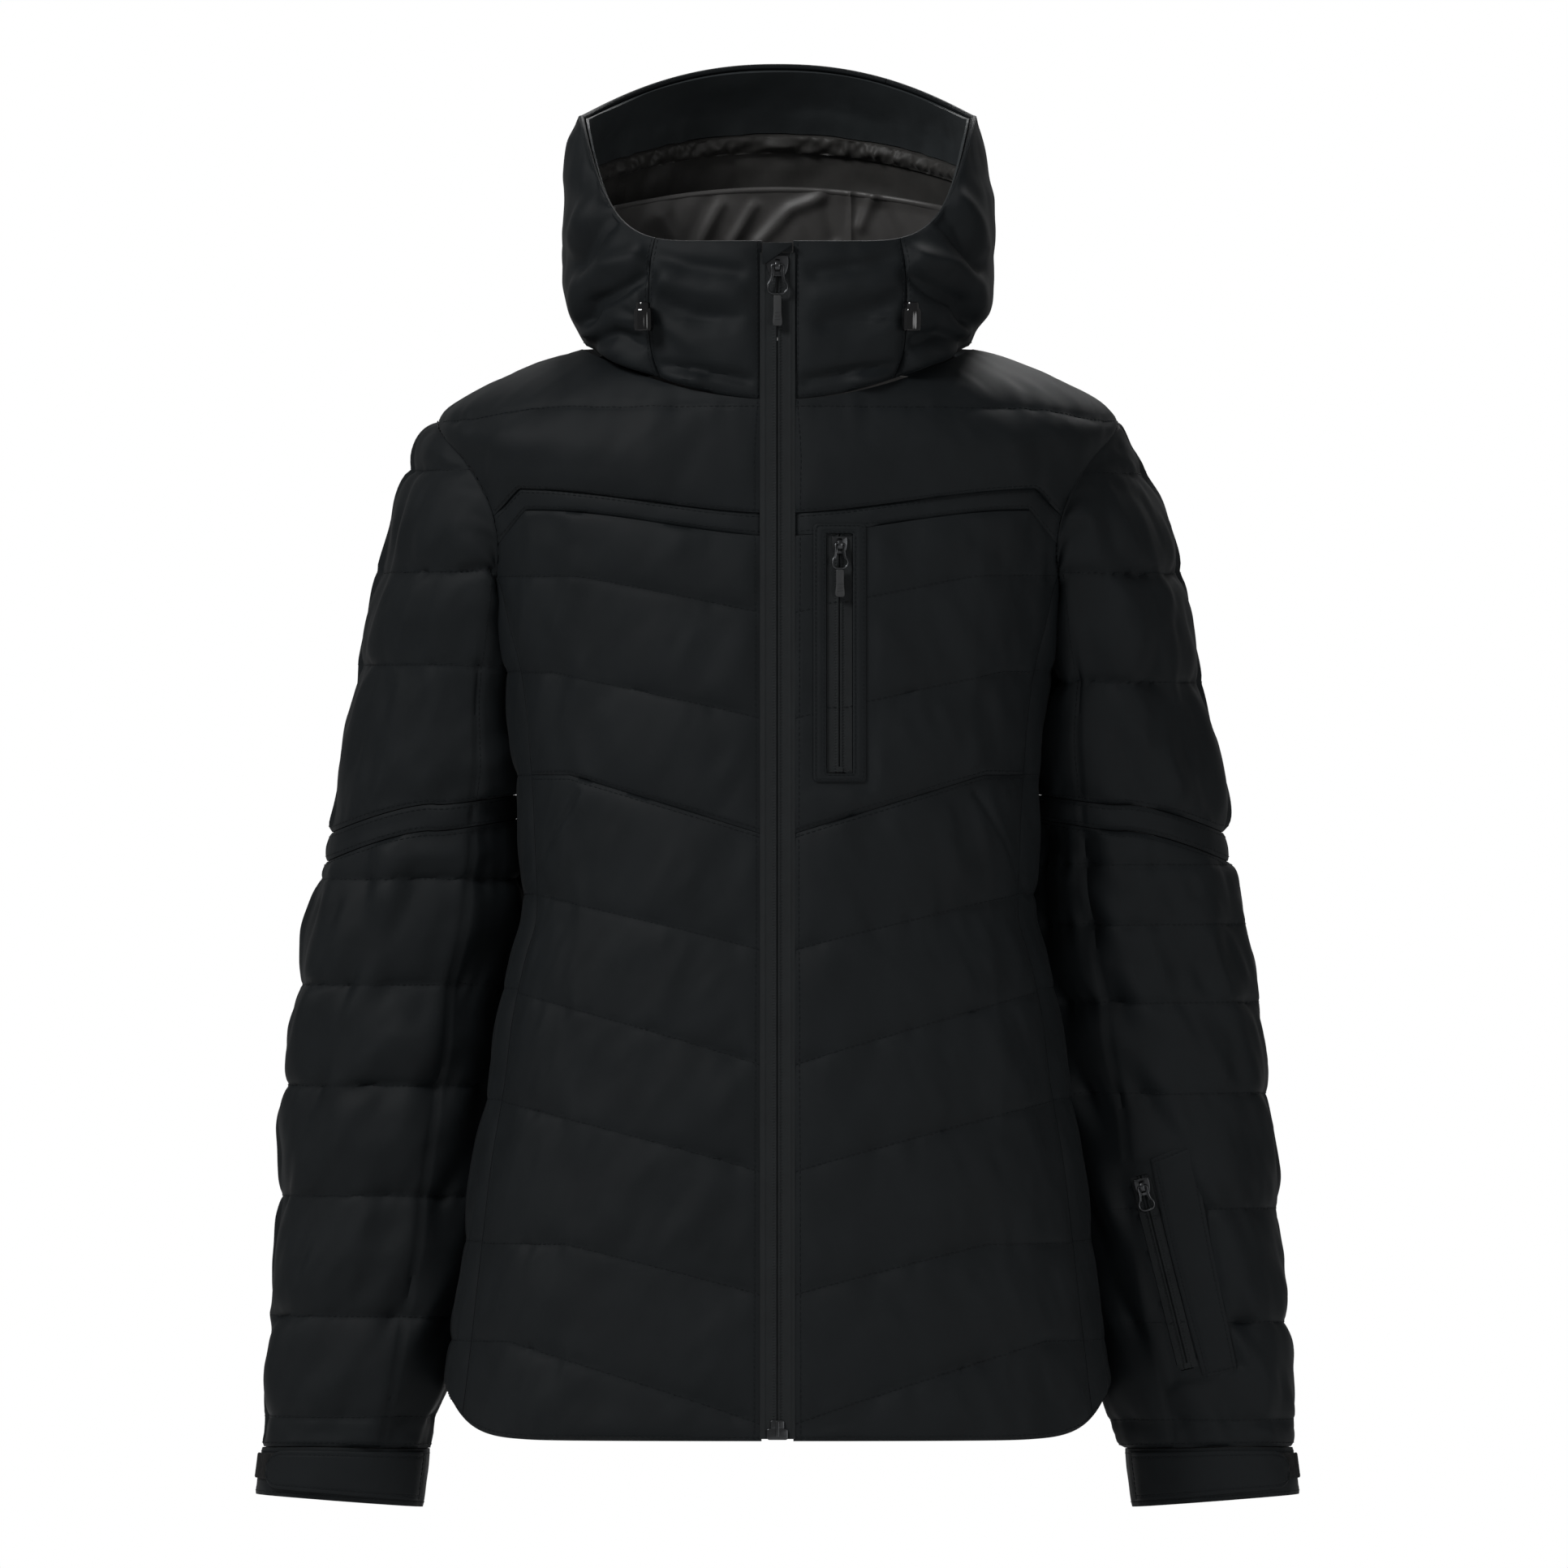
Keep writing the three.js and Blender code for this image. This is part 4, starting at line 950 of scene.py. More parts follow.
def patchRelief(s, t, u, v, base):
    # woven loops stand in upright ribs
    return 0.42 * np.sin(s * 34 / 1.9 * 2 * np.pi) * np.clip(np.minimum(t, 1 - t) * 20, 0, 1)


def flapPlace(s, t):
    turn = mix(96.0, 107.0, t) - mix(7.0, 28.0, s)
    return turn, mix(0.863 + 0.012, 0.655 - 0.012, t)


def flapRelief(s, t, u, v, base):
    edge = np.minimum(s * 22, np.minimum(t, 1 - t) * 142)
    soft = 0.35 * valueNoise(s * 2, t * 7, 211)
    return soft - 0.45 * np.exp(-((edge - 2.5) / 0.8) ** 2) - 0.5 * np.exp(-edge / 0.8)


def liningRelief(seed, amount):
    def relief(s, t, u, v, base):
        soft = layered((base[..., 0] + base[..., 1]) / 34, base[..., 2] / 70, seed)
        return amount * soft * np.clip(np.minimum(t, 1 - t) * 12, 0, 1)
    return relief


for side, label in ((1, "left"), (-1, "right")):
    body = f"sleeve_{label}"
    cuff = flatSheet("sleeve", sleevePlace(constant(1.0), moved(cuffTop, gapShare)), (330, 38), 1.9, 0.2, 3.6,
                     cuffRelief, wrap=True)
    tab = flatSheet("sleeve", tabPlace, (102, 30), 1.0, -3.0, 1.2, tabRelief)
    patch = flatSheet("sleeve", patchPlace, (34, 30), 0.5, -1.5, 1.0, patchRelief)
    for name, panel, slot, material, edges, owner, spots in (
            (f"cuff_{label}", cuff, "shell_fabric", shellCloth, ("low", "high"), body, f"lower_sleeve_{label}"),
            (f"cuff_tab_{label}", tab, "shell_fabric", shellCloth, ("low", "high", "start"), f"cuff_tab_{label}",
             f"cuff_{label}"),
            (f"loop_patch_{label}", patch, "loop_pile", pileCloth, (), body, f"cuff_{label}")):
        sewn = [part for edge in edges
                for part in edgeStitches(panel, edge, 2.6, length=1.9, pitch=2.8, radius=0.24)]
        obj = finishPanel(name, panel, material, sewn, side)
        if name.startswith("cuff_tab"):
            # sewn down at one end, where tabRelief bends its first thumb's width down instead of hinging;
            # sewnEnd and freeFrom are worked out but not used, and the tab is only baked in place
            mirror = np.array([side, 1, 1])
            sewnEnd = toMetres(sleeveSurface(np.float64(156.0), np.float64(0.97)) * mirror)
            freeFrom = toMetres(sleeveSurface(np.float64(132.0), np.float64(0.97)) * mirror)
            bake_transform(obj)
        else:
            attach(obj, owner)
        declareSheet(name, panel)
    lining = flatSheet("sleeve", sleevePlace(constant(0.985), constant(0.17)), (300, 545), 4.5, 9.5, 1.4,
                       liningRelief(221 + side, 0.8), wrap=True)
    obj = finishPanel(f"sleeve_lining_{label}", lining, liningCloth, (), side)
    followArm(obj)
    declareSheet(f"sleeve_lining_{label}", lining)
flap = flatSheet("sleeve", flapPlace, (22, 142), 0.9, -1.5, 1.1, flapRelief)
sewn = [part for edge in ("low", "high", "start", "end")
        for part in edgeStitches(flap, edge, 2.5, length=1.9, pitch=2.8, radius=0.24)]
obj = finishPanel("sleeve_pocket_flap", flap, shellCloth, sewn)
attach(obj, "sleeve_left")
declareSheet("sleeve_pocket_flap", flap)


def bodySheet(turnLow, turnHigh, low, high):
    return lambda s, t: (mix(turnLow, turnHigh, s), mix(low, high, t) + 0 * s)


def pocketPlace(xLow, xHigh, low, high):
    def place(s, t):
        height = mix(low, high, t)
        return turnAt(mix(xLow, xHigh, s), height), height
    return place


bodyLining = flatSheet("body", bodySheet(10.0, 350.0, hem + 2, neck - 14), (950, 630), 5.0, 12.2, 1.4,
                       liningRelief(231, 0.9))
ring = np.linalg.norm((bodyLining["base"][..., 1:] - [cut["armY"], cut["armZ"]])
                      / [cut["armDepth"] + 1, cut["armHeight"] + 1], axis=-1)
inside = (np.where(np.abs(bodyLining["base"][..., 0]) > 100, ring, 9) < 1).ravel()
bodyLining["faces"] = bodyLining["faces"][~inside[bodyLining["faces"]].any(axis=1)]
obj = finishPanel("body_lining", bodyLining, liningCloth)
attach(obj, "body")
declareSheet("body_lining", bodyLining)
chestBag = flatSheet("body", pocketPlace(24.0, 116.0, 434.0, 591.0), (92, 157), 4.0, 9.3, 1.6,
                     liningRelief(241, 0.3))
obj = finishPanel("chest_pocket_bag", chestBag, liningCloth)
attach(obj, "body")
declareSheet("chest_pocket_bag", chestBag)
for side, label in ((1, "left"), (-1, "right")):
    handBag = flatSheet("body", bodySheet(28.0, 66.0, 130.0, 300.0), (120, 170), 4.0, 9.3, 1.6,
                        liningRelief(245, 0.3))
    obj = finishPanel(f"hand_pocket_bag_{label}", handBag, liningCloth, (), side)
    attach(obj, "body")
    declareSheet(f"hand_pocket_bag_{label}", handBag)
print("flat pieces made")


# hood
lockSeat = hoodSurface(np.float64(cut["chinTurn"]), np.float64(0.42))


# folds of the cheek and the collar front: (x, z) lines with a height and a width
cheekFolds = [
    (((81, 757), (97, 747), (111, 740), (114, 730)), -5.0, 4.2),
    (((86, 768), (106, 763), (119, 750), (124, 735)), 4.2, 7.5),
    (((113, 722), (96, 706), (74, 695), (52, 690)), 4.6, 7.5),
    (((84, 716), (98, 721), (116, 716)), -3.8, 5.0),
    (((70, 701), (48, 699), (18, 693)), -2.6, 3.6),
    (((92, 802), (108, 786), (121, 764)), -3.2, 5.0),
    (((101, 816), (116, 800), (127, 776)), 2.8, 6.5),
    (((76, 770), (52, 763), (24, 759)), -1.9, 5.0),
    (((72, 742), (52, 733), (30, 729)), -2.2, 7.0),
    (((70, 754), (48, 748), (26, 744)), 2.0, 8.0),
]


def hoodWrinkles(seed):
    # soft rolls over the hood, drag lines that fan out from the cord lock, and a gathered rim
    def wrinkles(u, v, base, near):
        x, z = np.abs(base[..., 0]), base[..., 2]
        toLock = np.stack([x - lockSeat[0], z - lockSeat[2]], -1)
        distance = np.hypot(np.linalg.norm(toLock, axis=-1), base[..., 1] - lockSeat[1])
        angle = np.arctan2(toLock[..., 1], toLock[..., 0])
        fanned = valueNoise(angle * 2.6 + 9, distance / 70, seed)
        fanned = fanned * np.exp(-distance / 46) * edgeFall(distance, 9)
        width = np.sin(np.radians(u)) ** 2
        rolls = valueNoise((z + 0.35 * x) / 17, base[..., 1] / 70 + x / 90, seed + 2) * (0.35 + 0.65 * width)
        fine = valueNoise(x / 13 + base[..., 1] / 17, z / 13, seed + 4)
        rim = valueNoise((x + base[..., 1]) / 8, z / 60, seed + 6) * np.exp(-(1 - v) * 100 / 9)
        drawn = 1.65 * foldField(x, z, cheekFolds) * smooth((lockSeat[1] + 85 - base[..., 1]) / 45)
        return 3.0 * fanned + 2.4 * rolls + 0.7 * fine + 0.8 * rim + drawn
    return wrinkles


def hoodPlace(turnLow, turnHigh):
    def place(s, t):
        share = mix(0.004, 1.0, t)
        start = turnLow
        if turnLow is None:
            start = np.degrees(np.arcsin((9.8 / hoodHalf(share)) ** (cut["roundBody"] / 2)))
        return mix(start, turnHigh, s), share
    return place


def binding(panel, radius):
    # the bound edge along the top of a hood panel: a round bead over both faces
    top = (panel["front"][-1] + panel["back"][-1]) / 2
    way = spin(np.gradient(top, axis=0), -1)
    out = spin(panel["front"][-1] - panel["back"][-1], -1)
    up = np.cross(out, way)
    halfThick = np.linalg.norm(panel["front"][-1] - panel["back"][-1], axis=-1)[:, None] / 2
    rings = []
    for a in np.arange(14) * 2 * math.pi / 14:
        flatten = 0.75 * halfThick + radius
        rings.append(top + out * math.cos(a) * flatten + up * math.sin(a) * (radius + 1.2) - up * 1.2)
    points = np.stack(rings, 1)
    cols = points.shape[1]
    faces = gridFaces(len(points), cols, wrap=True)
    ends = []
    for row, flip in ((0, False), (len(points) - 1, True)):
        index = row * cols + np.arange(cols)
        for k in range(1, cols - 2, 2):
            quad = [index[0], index[k], index[k + 1], index[k + 2]]
            ends.append(quad[::-1] if not flip else quad)
    return points.reshape(-1, 3), np.concatenate([faces, np.array(ends)])


hoodSettings = {
    "puff": 3.6, "sink": 2.6, "pucker": 0.0, "fold": 0.8, "thick": 5.6, "reach": 5.0, "spacing": 2.2,
}
hoodPieces = [("chin_panel", None, cut["chinTurn"] - 0.15, (66, 100)),
              ("hood_side", cut["chinTurn"] + 0.15, cut["crownTurn"] - 0.15, (330, 150))]
for side, label in ((1, "left"), (-1, "right")):
    for k, (name, start, end, size) in enumerate(hoodPieces):
        panel = quilted("hood", hoodPlace(start, end), size, [], 301 + 5 * k + (2 if side < 0 else 0),
                        extra=hoodWrinkles(311 + (20 if side < 0 else 0)), **hoodSettings)
        sewn = [part for edge in ("start", "end", "low") for part in edgeStitches(panel, edge, 2.2)]
        bound = [binding(panel, 0.6)]
        obj = finishPanel(f"{name}_{label}", panel, shellCloth, sewn, side, bound)
        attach(obj, "body")
panel = quilted("hood", hoodPlace(cut["crownTurn"] + 0.15, 360 - cut["crownTurn"] - 0.15), (150, 175), [], 321,
                extra=hoodWrinkles(331), **hoodSettings)
sewn = [part for edge in ("start", "end", "low") for part in edgeStitches(panel, edge, 2.2)]
obj = finishPanel("hood_crown", panel, shellCloth, sewn, 1, [binding(panel, 0.6)])
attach(obj, "body")


def channelRelief(s, t, u, v, base):
    # cloth gathered on an elastic cord: close upright creases, deepest at the middle of the channel
    crease = valueNoise(s * 70, t * 1.6, 341) + 0.6 * valueNoise(s * 150, t * 2.2, 342)
    return 2.0 * crease * np.sin(np.pi * np.clip(t, 0, 1)) ** 0.4 + 2.4 * np.sin(np.pi * t)


def brimRelief(s, t, u, v, base):
    return 0.9 * valueNoise(s * 60, t * 2, 345) * (1 - t) + 0.5 * layered(s * 14, t * 2, 346)


def hoodInside(low, high):
    return lambda s, t: (mix(52.0, 308.0, s), mix(low, high, t))


inside = 7.3
for name, low, high, size, spacing, thick, relief, slot, material in (
        # hood lining and channel take the darker copy of the lining, painted shade for the shadow inside the
        # hood
        ("hood_lining", 0.08, 0.695, (560, 110), 3.2, 1.5, liningRelief(351, 2.6), "lining_satin", hoodLiningPaintedShade),
        ("hood_channel", 0.70, 0.765, (560, 14), 1.0, 3.6, channelRelief, "lining_satin", hoodLiningPaintedShade),
        # brim facing takes the lighter copy of the shell cloth, painted light for the shaded inside of the brim
        ("brim_facing", 0.77, 0.995, (560, 44), 2.2, 1.5, brimRelief, "shell_fabric", brimClothPaintedLight)):
    panel = flatSheet("hood", hoodInside(low, high), size, spacing, inside, thick, None)
    s, t = shares(panel["base"].shape[1] - 1, panel["base"].shape[0] - 1)
    lift = relief(s, t, *hoodInside(low, high)(s, t), panel["base"])[..., None] * panel["normal"]
    panel["back"] = panel["back"] - lift
    obj = finishPanel(name, panel, material)
    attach(obj, "body")
    declareSheet(name, panel,
                 1.5 if name == "hood_channel" else 1.0)
collarFolds = [
    (((46, 812), (46, 770)), -1.8, 1.5), (((-12, 780), (8, 801), (27, 808)), -3.0, 4.0),
    (((-50, 778), (-36, 804)), -2.6, 4.0), (((-29, 780), (-15, 803)), -2.4, 3.5),
    (((30, 806), (34, 784)), 2.2, 5.0), (((60, 810), (52, 790)), -2.4, 3.5),
    (((-72, 796), (-60, 776)), -3.2, 8.0), (((66, 800), (74, 780)), 2.2, 5.0),
]


def collarRelief(s, t, u, v, base):
    # soft slanting folds and the upright join of the collar's lining
    soft = liningRelief(361, 1.6)(s, t, u, v, base)
    slanting = 1.2 * valueNoise((base[..., 0] - 0.7 * base[..., 2]) / 16, base[..., 2] / 60, 363)
    return soft + slanting - foldField(base[..., 0], base[..., 2], collarFolds)


collar = flatSheet("collar", lambda s, t: (mix(68.0, 292.0, s), t), (480, 100), 2.0, 0.2, 1.6, None)
s, t = shares(collar["base"].shape[1] - 1, collar["base"].shape[0] - 1)
lift = (collarRelief(s, t, 0, 0, collar["base"]) * smooth(t * 8))[..., None] * collar["normal"]
collar["front"], collar["back"] = collar["front"] - lift, collar["back"] - lift
sewn = edgeStitches(collar, "high", 4.0)
obj = finishPanel("collar_lining", collar, liningCloth, sewn, 1, [binding(collar, 0.5)])
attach(obj, "body")
declareSheet("collar_lining", collar)
print("hood made")


# zips and hardware
def fromFrame(points, place):
    axes, top = place
    return points @ axes + top


def lowered(place, distance):
    return place[0], place[1] - place[0][2] * distance


def fan(centre, ring, flip=False):
    # triangles from a middle point to a ring of points, written as quads with a repeated corner
    after = np.roll(ring, -1)
    middle = np.full(len(ring), centre)
    quads = np.stack([middle, ring, after, after], -1)
    return quads[:, [0, 2, 1, 1]] if flip else quads


def slab(outline, low, high, rounding):
    # solid plate between two depths whose outline (x, z) has rounded edges
    before, after = np.roll(outline, 1, axis=0), np.roll(outline, -1, axis=0)
    way = spin(after - before, -1)
    inwards = np.stack([-way[:, 1], way[:, 0]], -1)
    angles = np.radians([0, 30, 60, 90])
    rings = [(rounding * (1 - np.sin(a)), low + rounding * (1 - np.cos(a))) for a in angles]
    rings += [(inset, low + high - depth) for inset, depth in reversed(rings)]
    count = len(outline)
    points = []
    for inset, depth in rings:
        flat = outline + inwards * inset
        points.append(np.stack([flat[:, 0], np.full(count, depth), flat[:, 1]], -1))
    points = np.concatenate(points)
    faces = gridFaces(len(rings), count, wrap=True)[:, ::-1]
    middle = points[:count].mean(0), points[-count:].mean(0)
    last = (len(rings) - 1) * count
    caps = [fan(len(points), np.arange(count)), fan(len(points) + 1, last + np.arange(count), True)]
    return np.concatenate([points, [middle[0], middle[1]]]), np.concatenate([faces, *caps])


def tube(path, width, depth, sides=12, closed=True):
    # a wire along a path in the plane of x and z, with an elliptical section
    way = np.roll(path, -1, axis=0) - np.roll(path, 1, axis=0)
    if not closed:
        way = np.gradient(path, axis=0)
    way = spin(way, -1)
    side = np.stack([way[:, 2], 0 * way[:, 0], -way[:, 0]], -1)
    up = np.array([0.0, 1.0, 0.0])
    angles = np.arange(sides) * 2 * math.pi / sides
    size = np.broadcast_to(np.asarray(width, float), len(path))[:, None]
    rings = [path + side * math.cos(a) * size + up * math.sin(a) * depth for a in angles]
    points = np.stack(rings, 1).reshape(-1, 3)
    rows = len(path)
    faces = gridFaces(rows, sides, wrap=True)
    if closed:
        last = (rows - 1) * sides + np.arange(sides)
        first = np.arange(sides)
        faces = np.concatenate([faces, np.stack([last, np.roll(last, -1), np.roll(first, -1), first], -1)])
        return points, faces
    ends = [fan(len(points), np.arange(sides), True),
            fan(len(points) + 1, (rows - 1) * sides + np.arange(sides))]
    return np.concatenate([points, [path[0], path[-1]]]), np.concatenate([faces, *ends])


def smoothPath(points, count, closed=False):
    # Catmull-Rom curve through points, evenly stepped in its own parameter
    p = np.array(points, float)
    n = len(p)
    at = np.linspace(0, n if closed else n - 1, count, endpoint=not closed)
    i = np.minimum(at.astype(int), n - 1 if closed else n - 2)
    t = (at - i)[:, None]

    def pick(k):
        return p[(i + k) % n] if closed else p[np.clip(i + k, 0, n - 1)]
    a, b, c, d = pick(-1), pick(0), pick(1), pick(2)
    return 0.5 * (2 * b + (c - a) * t + (2 * a - 5 * b + 4 * c - d) * t ** 2
                  + (3 * b - a - 3 * c + d) * t ** 3)


def roundedBox(halfWidth, low, high, corner, steps=5):
    # outline of a rectangle in x and z with round corners, anticlockwise as seen from the front
    points = []
    for cx, cz, start in ((halfWidth - corner, high - corner, 0), (-halfWidth + corner, high - corner, 90),
                          (-halfWidth + corner, low + corner, 180), (halfWidth - corner, low + corner, 270)):
        for a in np.radians(start + np.linspace(0, 90, steps)):
            points.append((cx + corner * math.cos(a), cz + corner * math.sin(a)))
    return np.array(points)


def hardware(name, part, material, body, sharp=40.0):
    obj = meshFrom(name + "_piece", part, material, sharp)
    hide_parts(name)
    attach(obj, body)
    return obj


def placed(part, place):
    return fromFrame(part[0], place), part[1]


zipTape = {"face": 0.6, "thick": 1.2, "teeth": 1.3, "slot": 0.05, "pitch": 1.8}


def tapeHalf(edge, length, side=1):
    # one tape: a folded bead along the middle with the coil's stitches showing, chevron weave beside it
    z = np.arange(0, length, zipTape["pitch"] / 4)
    x = zipTape["slot"] + (edge - zipTape["slot"]) * np.linspace(0, 1, 19) ** 1.25
    gridX, gridZ = np.meshgrid(x, -z[::-1])
    bead = 0.8 * np.exp(-((gridX - 1.0) / 0.7) ** 2) + 0.45 * np.exp(-((gridX - 8.0) / 0.5) ** 2)
    row = np.sin(2 * np.pi * gridZ / zipTape["pitch"])
    stitched = 0.42 * row * np.exp(-((gridX - 2.2) / 0.5) ** 2)
    weave = 0.14 * np.sin(2 * np.pi * (gridZ + 0.9 * np.abs((gridX - 5.6))) / 1.3) * (gridX > 3)
    fold = -0.9 * np.exp(-(gridX - zipTape["slot"]) / 0.35)
    front = zipTape["face"] - bead - stitched - weave - fold
    tooth = smooth((3.2 - gridX) / 0.5) * zipTape["teeth"] * (0.82 + 0.18 * row)
    back = zipTape["face"] + zipTape["thick"] + tooth
    part = closedBetween(np.stack([gridX, front, gridZ], -1), np.stack([gridX, back, gridZ], -1),
                         gridFaces(*gridX.shape))
    return part if side > 0 else mirrorPart(part)


def sliderPart(size):
    # shield-shaped front plate, web, back plate and an arch for the bail
    w, length, face = size["halfWidth"], size["length"], size["face"]
    shield = smoothPath([(w, -1.0), (w * 0.72, 0), (-w * 0.72, 0), (-w, -1.0), (-w, -length * 0.55),
                         (-w * 0.62, -length),
                         (w * 0.62, -length), (w, -length * 0.55)], 40, closed=True)
    shield = shield[np.argsort(np.unwrap(np.arctan2(shield[:, 1] + length / 2, shield[:, 0])) % (2 * np.pi))]
    front = slab(shield, -face, 0.3, 0.35)
    back = slab(shield, 3.4, 4.4, 0.3)
    web = slab(roundedBox(0.22, -length * 0.6, -0.6, 0.1, 3), 0.2, 3.5, 0.05)
    middle = -length / 2
    arch = []
    for a in np.radians(np.linspace(0, 180, 17)):
        arch.append((0, -face + 0.3 - 3.9 * math.sin(a), middle - 3.4 * math.cos(a)))
    path = np.array(arch)
    way = spin(np.gradient(path, axis=0), -1)
    out = np.stack([0 * way[:, 0], way[:, 2], -way[:, 1]], -1)
    rings = []
    for a in np.arange(12) * 2 * math.pi / 12:
        c, s = bend(math.cos(a), 0.6), bend(math.sin(a), 0.6)
        rings.append(path + out * s * 0.55 + np.array([1.0, 0, 0]) * c * 1.5)
    points = np.stack(rings, 1).reshape(-1, 3)
    faces = gridFaces(len(path), 12, wrap=True)
    ends = [fan(len(points), np.arange(12), True), fan(len(points) + 1, (len(path) - 1) * 12 + np.arange(12))]
    loop = np.concatenate([points, [path[0], path[-1]]]), np.concatenate([faces, *ends])
    return joined(front, back, web, loop)


def bailPart(size):
    # flat arms that hang from the top bar and open into a round ring for the pull
    w, low = size["bailWidth"] / 2, -size["bailLength"]
    arm = [(w * 0.50, 0.1), (w * 0.56, low * 0.25), (w * 0.66, low * 0.5), (w * 0.92, low * 0.68),
           (w * 0.86, low * 0.86), (w * 0.42, low * 0.97)]
    path = [(x, z) for x, z in arm] + [(-x, z) for x, z in reversed(arm)]
    line = smoothPath(path, 72, closed=True)
    ring = tube(np.stack([line[:, 0], 0 * line[:, 0], line[:, 1]], -1), 0.72, 0.8, 10)
    plates = []
    for side in (1, -1):
        outline = np.array([(w * 0.56, -0.6), (w * 0.30, -0.9), (w * 0.30, low * 0.28),
                            (w * 0.52, low * 0.58), (w * 0.74, low * 0.56), (w * 0.62, low * 0.3)])
        outline = outline if side > 0 else (outline * [-1, 1])[::-1]
        plates.append(slab(outline, -0.45, 0.45, 0.12))
    part = joined(ring, *plates)
    return part[0] + [0, -size["face"] - 1.9, -size["length"] / 2], part[1]


def pullPart(size):
    # rubber pull: a waisted tongue with a thick round foot, three grip ribs and a neck over the ring
    top, length = -size["length"] / 2 - size["bailLength"] - 0.3, size["pull"]
    outline = smoothPath([(2.1, top - 0.2), (0, top), (-2.1, top - 0.2), (-2.5, top - 2),
                          (-2.5, top - length * 0.55),
                          (-3.0, top - length * 0.88), (-2.2, top - length + 0.1), (0, top - length + 0.0),
                          (2.2, top - length + 0.1), (3.0, top - length * 0.88), (2.5, top - length * 0.55),
                          (2.5, top - 2)], 60, closed=True)
    body = slab(outline, -1.3, 1.3, 0.6)
    feet = [top - length * 0.80 + k * 2.1 for k in range(3)]
    ribs = [slab(roundedBox(1.7, foot, foot + 0.9, 0.4, 4), -1.55, 0, 0.25) for foot in feet]
    part = joined(body, *ribs)
    return part[0] + [0, -size["face"] - 1.9, 0], part[1]


def lathe(profileLine, place, sides=40, ribs=0):
    # turned solid about the frame's z; ribs are shallow flutes round it
    angle = np.arange(sides) * 2 * math.pi / sides
    r, z = np.array(profileLine, float).T
    flute = 1 - 0.05 * (ribs > 0) * (0.5 + 0.5 * np.cos(ribs * angle))
    x = r[:, None] * np.cos(angle) * flute
    y = r[:, None] * np.sin(angle) * flute
    points = np.stack([x, y, z[:, None] + 0 * x], -1).reshape(-1, 3)
    faces = gridFaces(len(r), sides, wrap=True)
    return fromFrame(points, place), faces


mainSize = {"length": 12, "halfWidth": 6.5, "face": 1.4, "bailWidth": 13, "bailLength": 18, "pull": 19}
smallSize = {"length": 10, "halfWidth": 4.6, "face": 1.2, "bailWidth": 10, "bailLength": 15, "pull": 17}
belowTop = 2.0
for side, label in ((1, "left"), (-1, "right")):
    tape = tapeHalf(10.8, mainLength - 1.0, side)
    hardware(f"main_zip_tape_{label}", placed(tape, mainFrame), tapeCloth, "body", 60)
zipBox = joined(slab(roundedBox(6.5, -mainLength + 0.6, -mainLength + 7.5, 1.6), -1.2, 3.0, 0.6),
                slab(roundedBox(4.2, -mainLength + 6.8, -mainLength + 12.6, 1.2), -0.7, 2.4, 0.5),
                slab(roundedBox(1.1, -mainLength + 2.0, -mainLength + 12.0, 0.6), -1.7, 0, 0.3))
hardware("main_zip_box", placed(zipBox, mainFrame), gunmetal, "body")

sliderFrame = lowered(mainFrame, belowTop)
hardware("main_slider", placed(sliderPart(mainSize), sliderFrame), gunmetal, "main_slider")
hardware("main_bail", placed(bailPart(mainSize), sliderFrame), gunmetal, "main_pull")
hardware("main_pull", placed(pullPart(mainSize), sliderFrame), pullRubber, "main_pull")
chestSlider = lowered(chestFrame, belowTop)
chestTapes = joined(tapeHalf(7.7, chestLength - 0.6), tapeHalf(7.7, chestLength - 0.6, -1),
                    slab(roundedBox(2.2, -chestLength + 1.0, -chestLength + 4.5, 0.6), -0.2, 2.6, 0.3))
hardware("chest_zip_tape", placed(chestTapes, lowered(chestFrame, 0.3)), tapeCloth, "body", 60)
hardware("chest_slider", placed(sliderPart(smallSize), chestSlider), gunmetal, "chest_slider")
hardware("chest_bail", placed(bailPart(smallSize), chestSlider), gunmetal, "chest_pull")
hardware("chest_pull", placed(pullPart(smallSize), chestSlider), pullRubber, "chest_pull")
sleeveTapes = joined(tapeHalf(6.2, sleevePocketLength - 0.6), tapeHalf(6.2, sleevePocketLength - 0.6, -1),
                     slab(roundedBox(2.2, -sleevePocketLength + 1.0, -sleevePocketLength + 4.5, 0.6),
                          -0.2, 2.6, 0.3))
hardware("sleeve_zip_tape", placed(sleeveTapes, lowered(sleeveFrame, 0.3)), tapeCloth,
         "sleeve_left", 60)
sleeveSlider = lowered(sleeveFrame, belowTop)
hardware("sleeve_slider", placed(sliderPart(smallSize), sleeveSlider), gunmetal, "sleeve_slider")
hardware("sleeve_bail", placed(bailPart(smallSize), sleeveSlider), gunmetal, "sleeve_pull")

# the fold of cloth over the top of the main zip, which the slider parks under
garage = joined(slab(roundedBox(9.2, 0.3, 6.0, 1.0), -0.6, 2.4, 0.5),
                slab(np.array([(9.2, 6.0), (-9.2, 6.0), (-9.2, -7.5), (-7.0, -7.0), (9.2, 4.6)]),
                     -2.9, -1.9, 0.4))
hardware("zip_garage", placed(garage, mainFrame), shellCloth, "body")


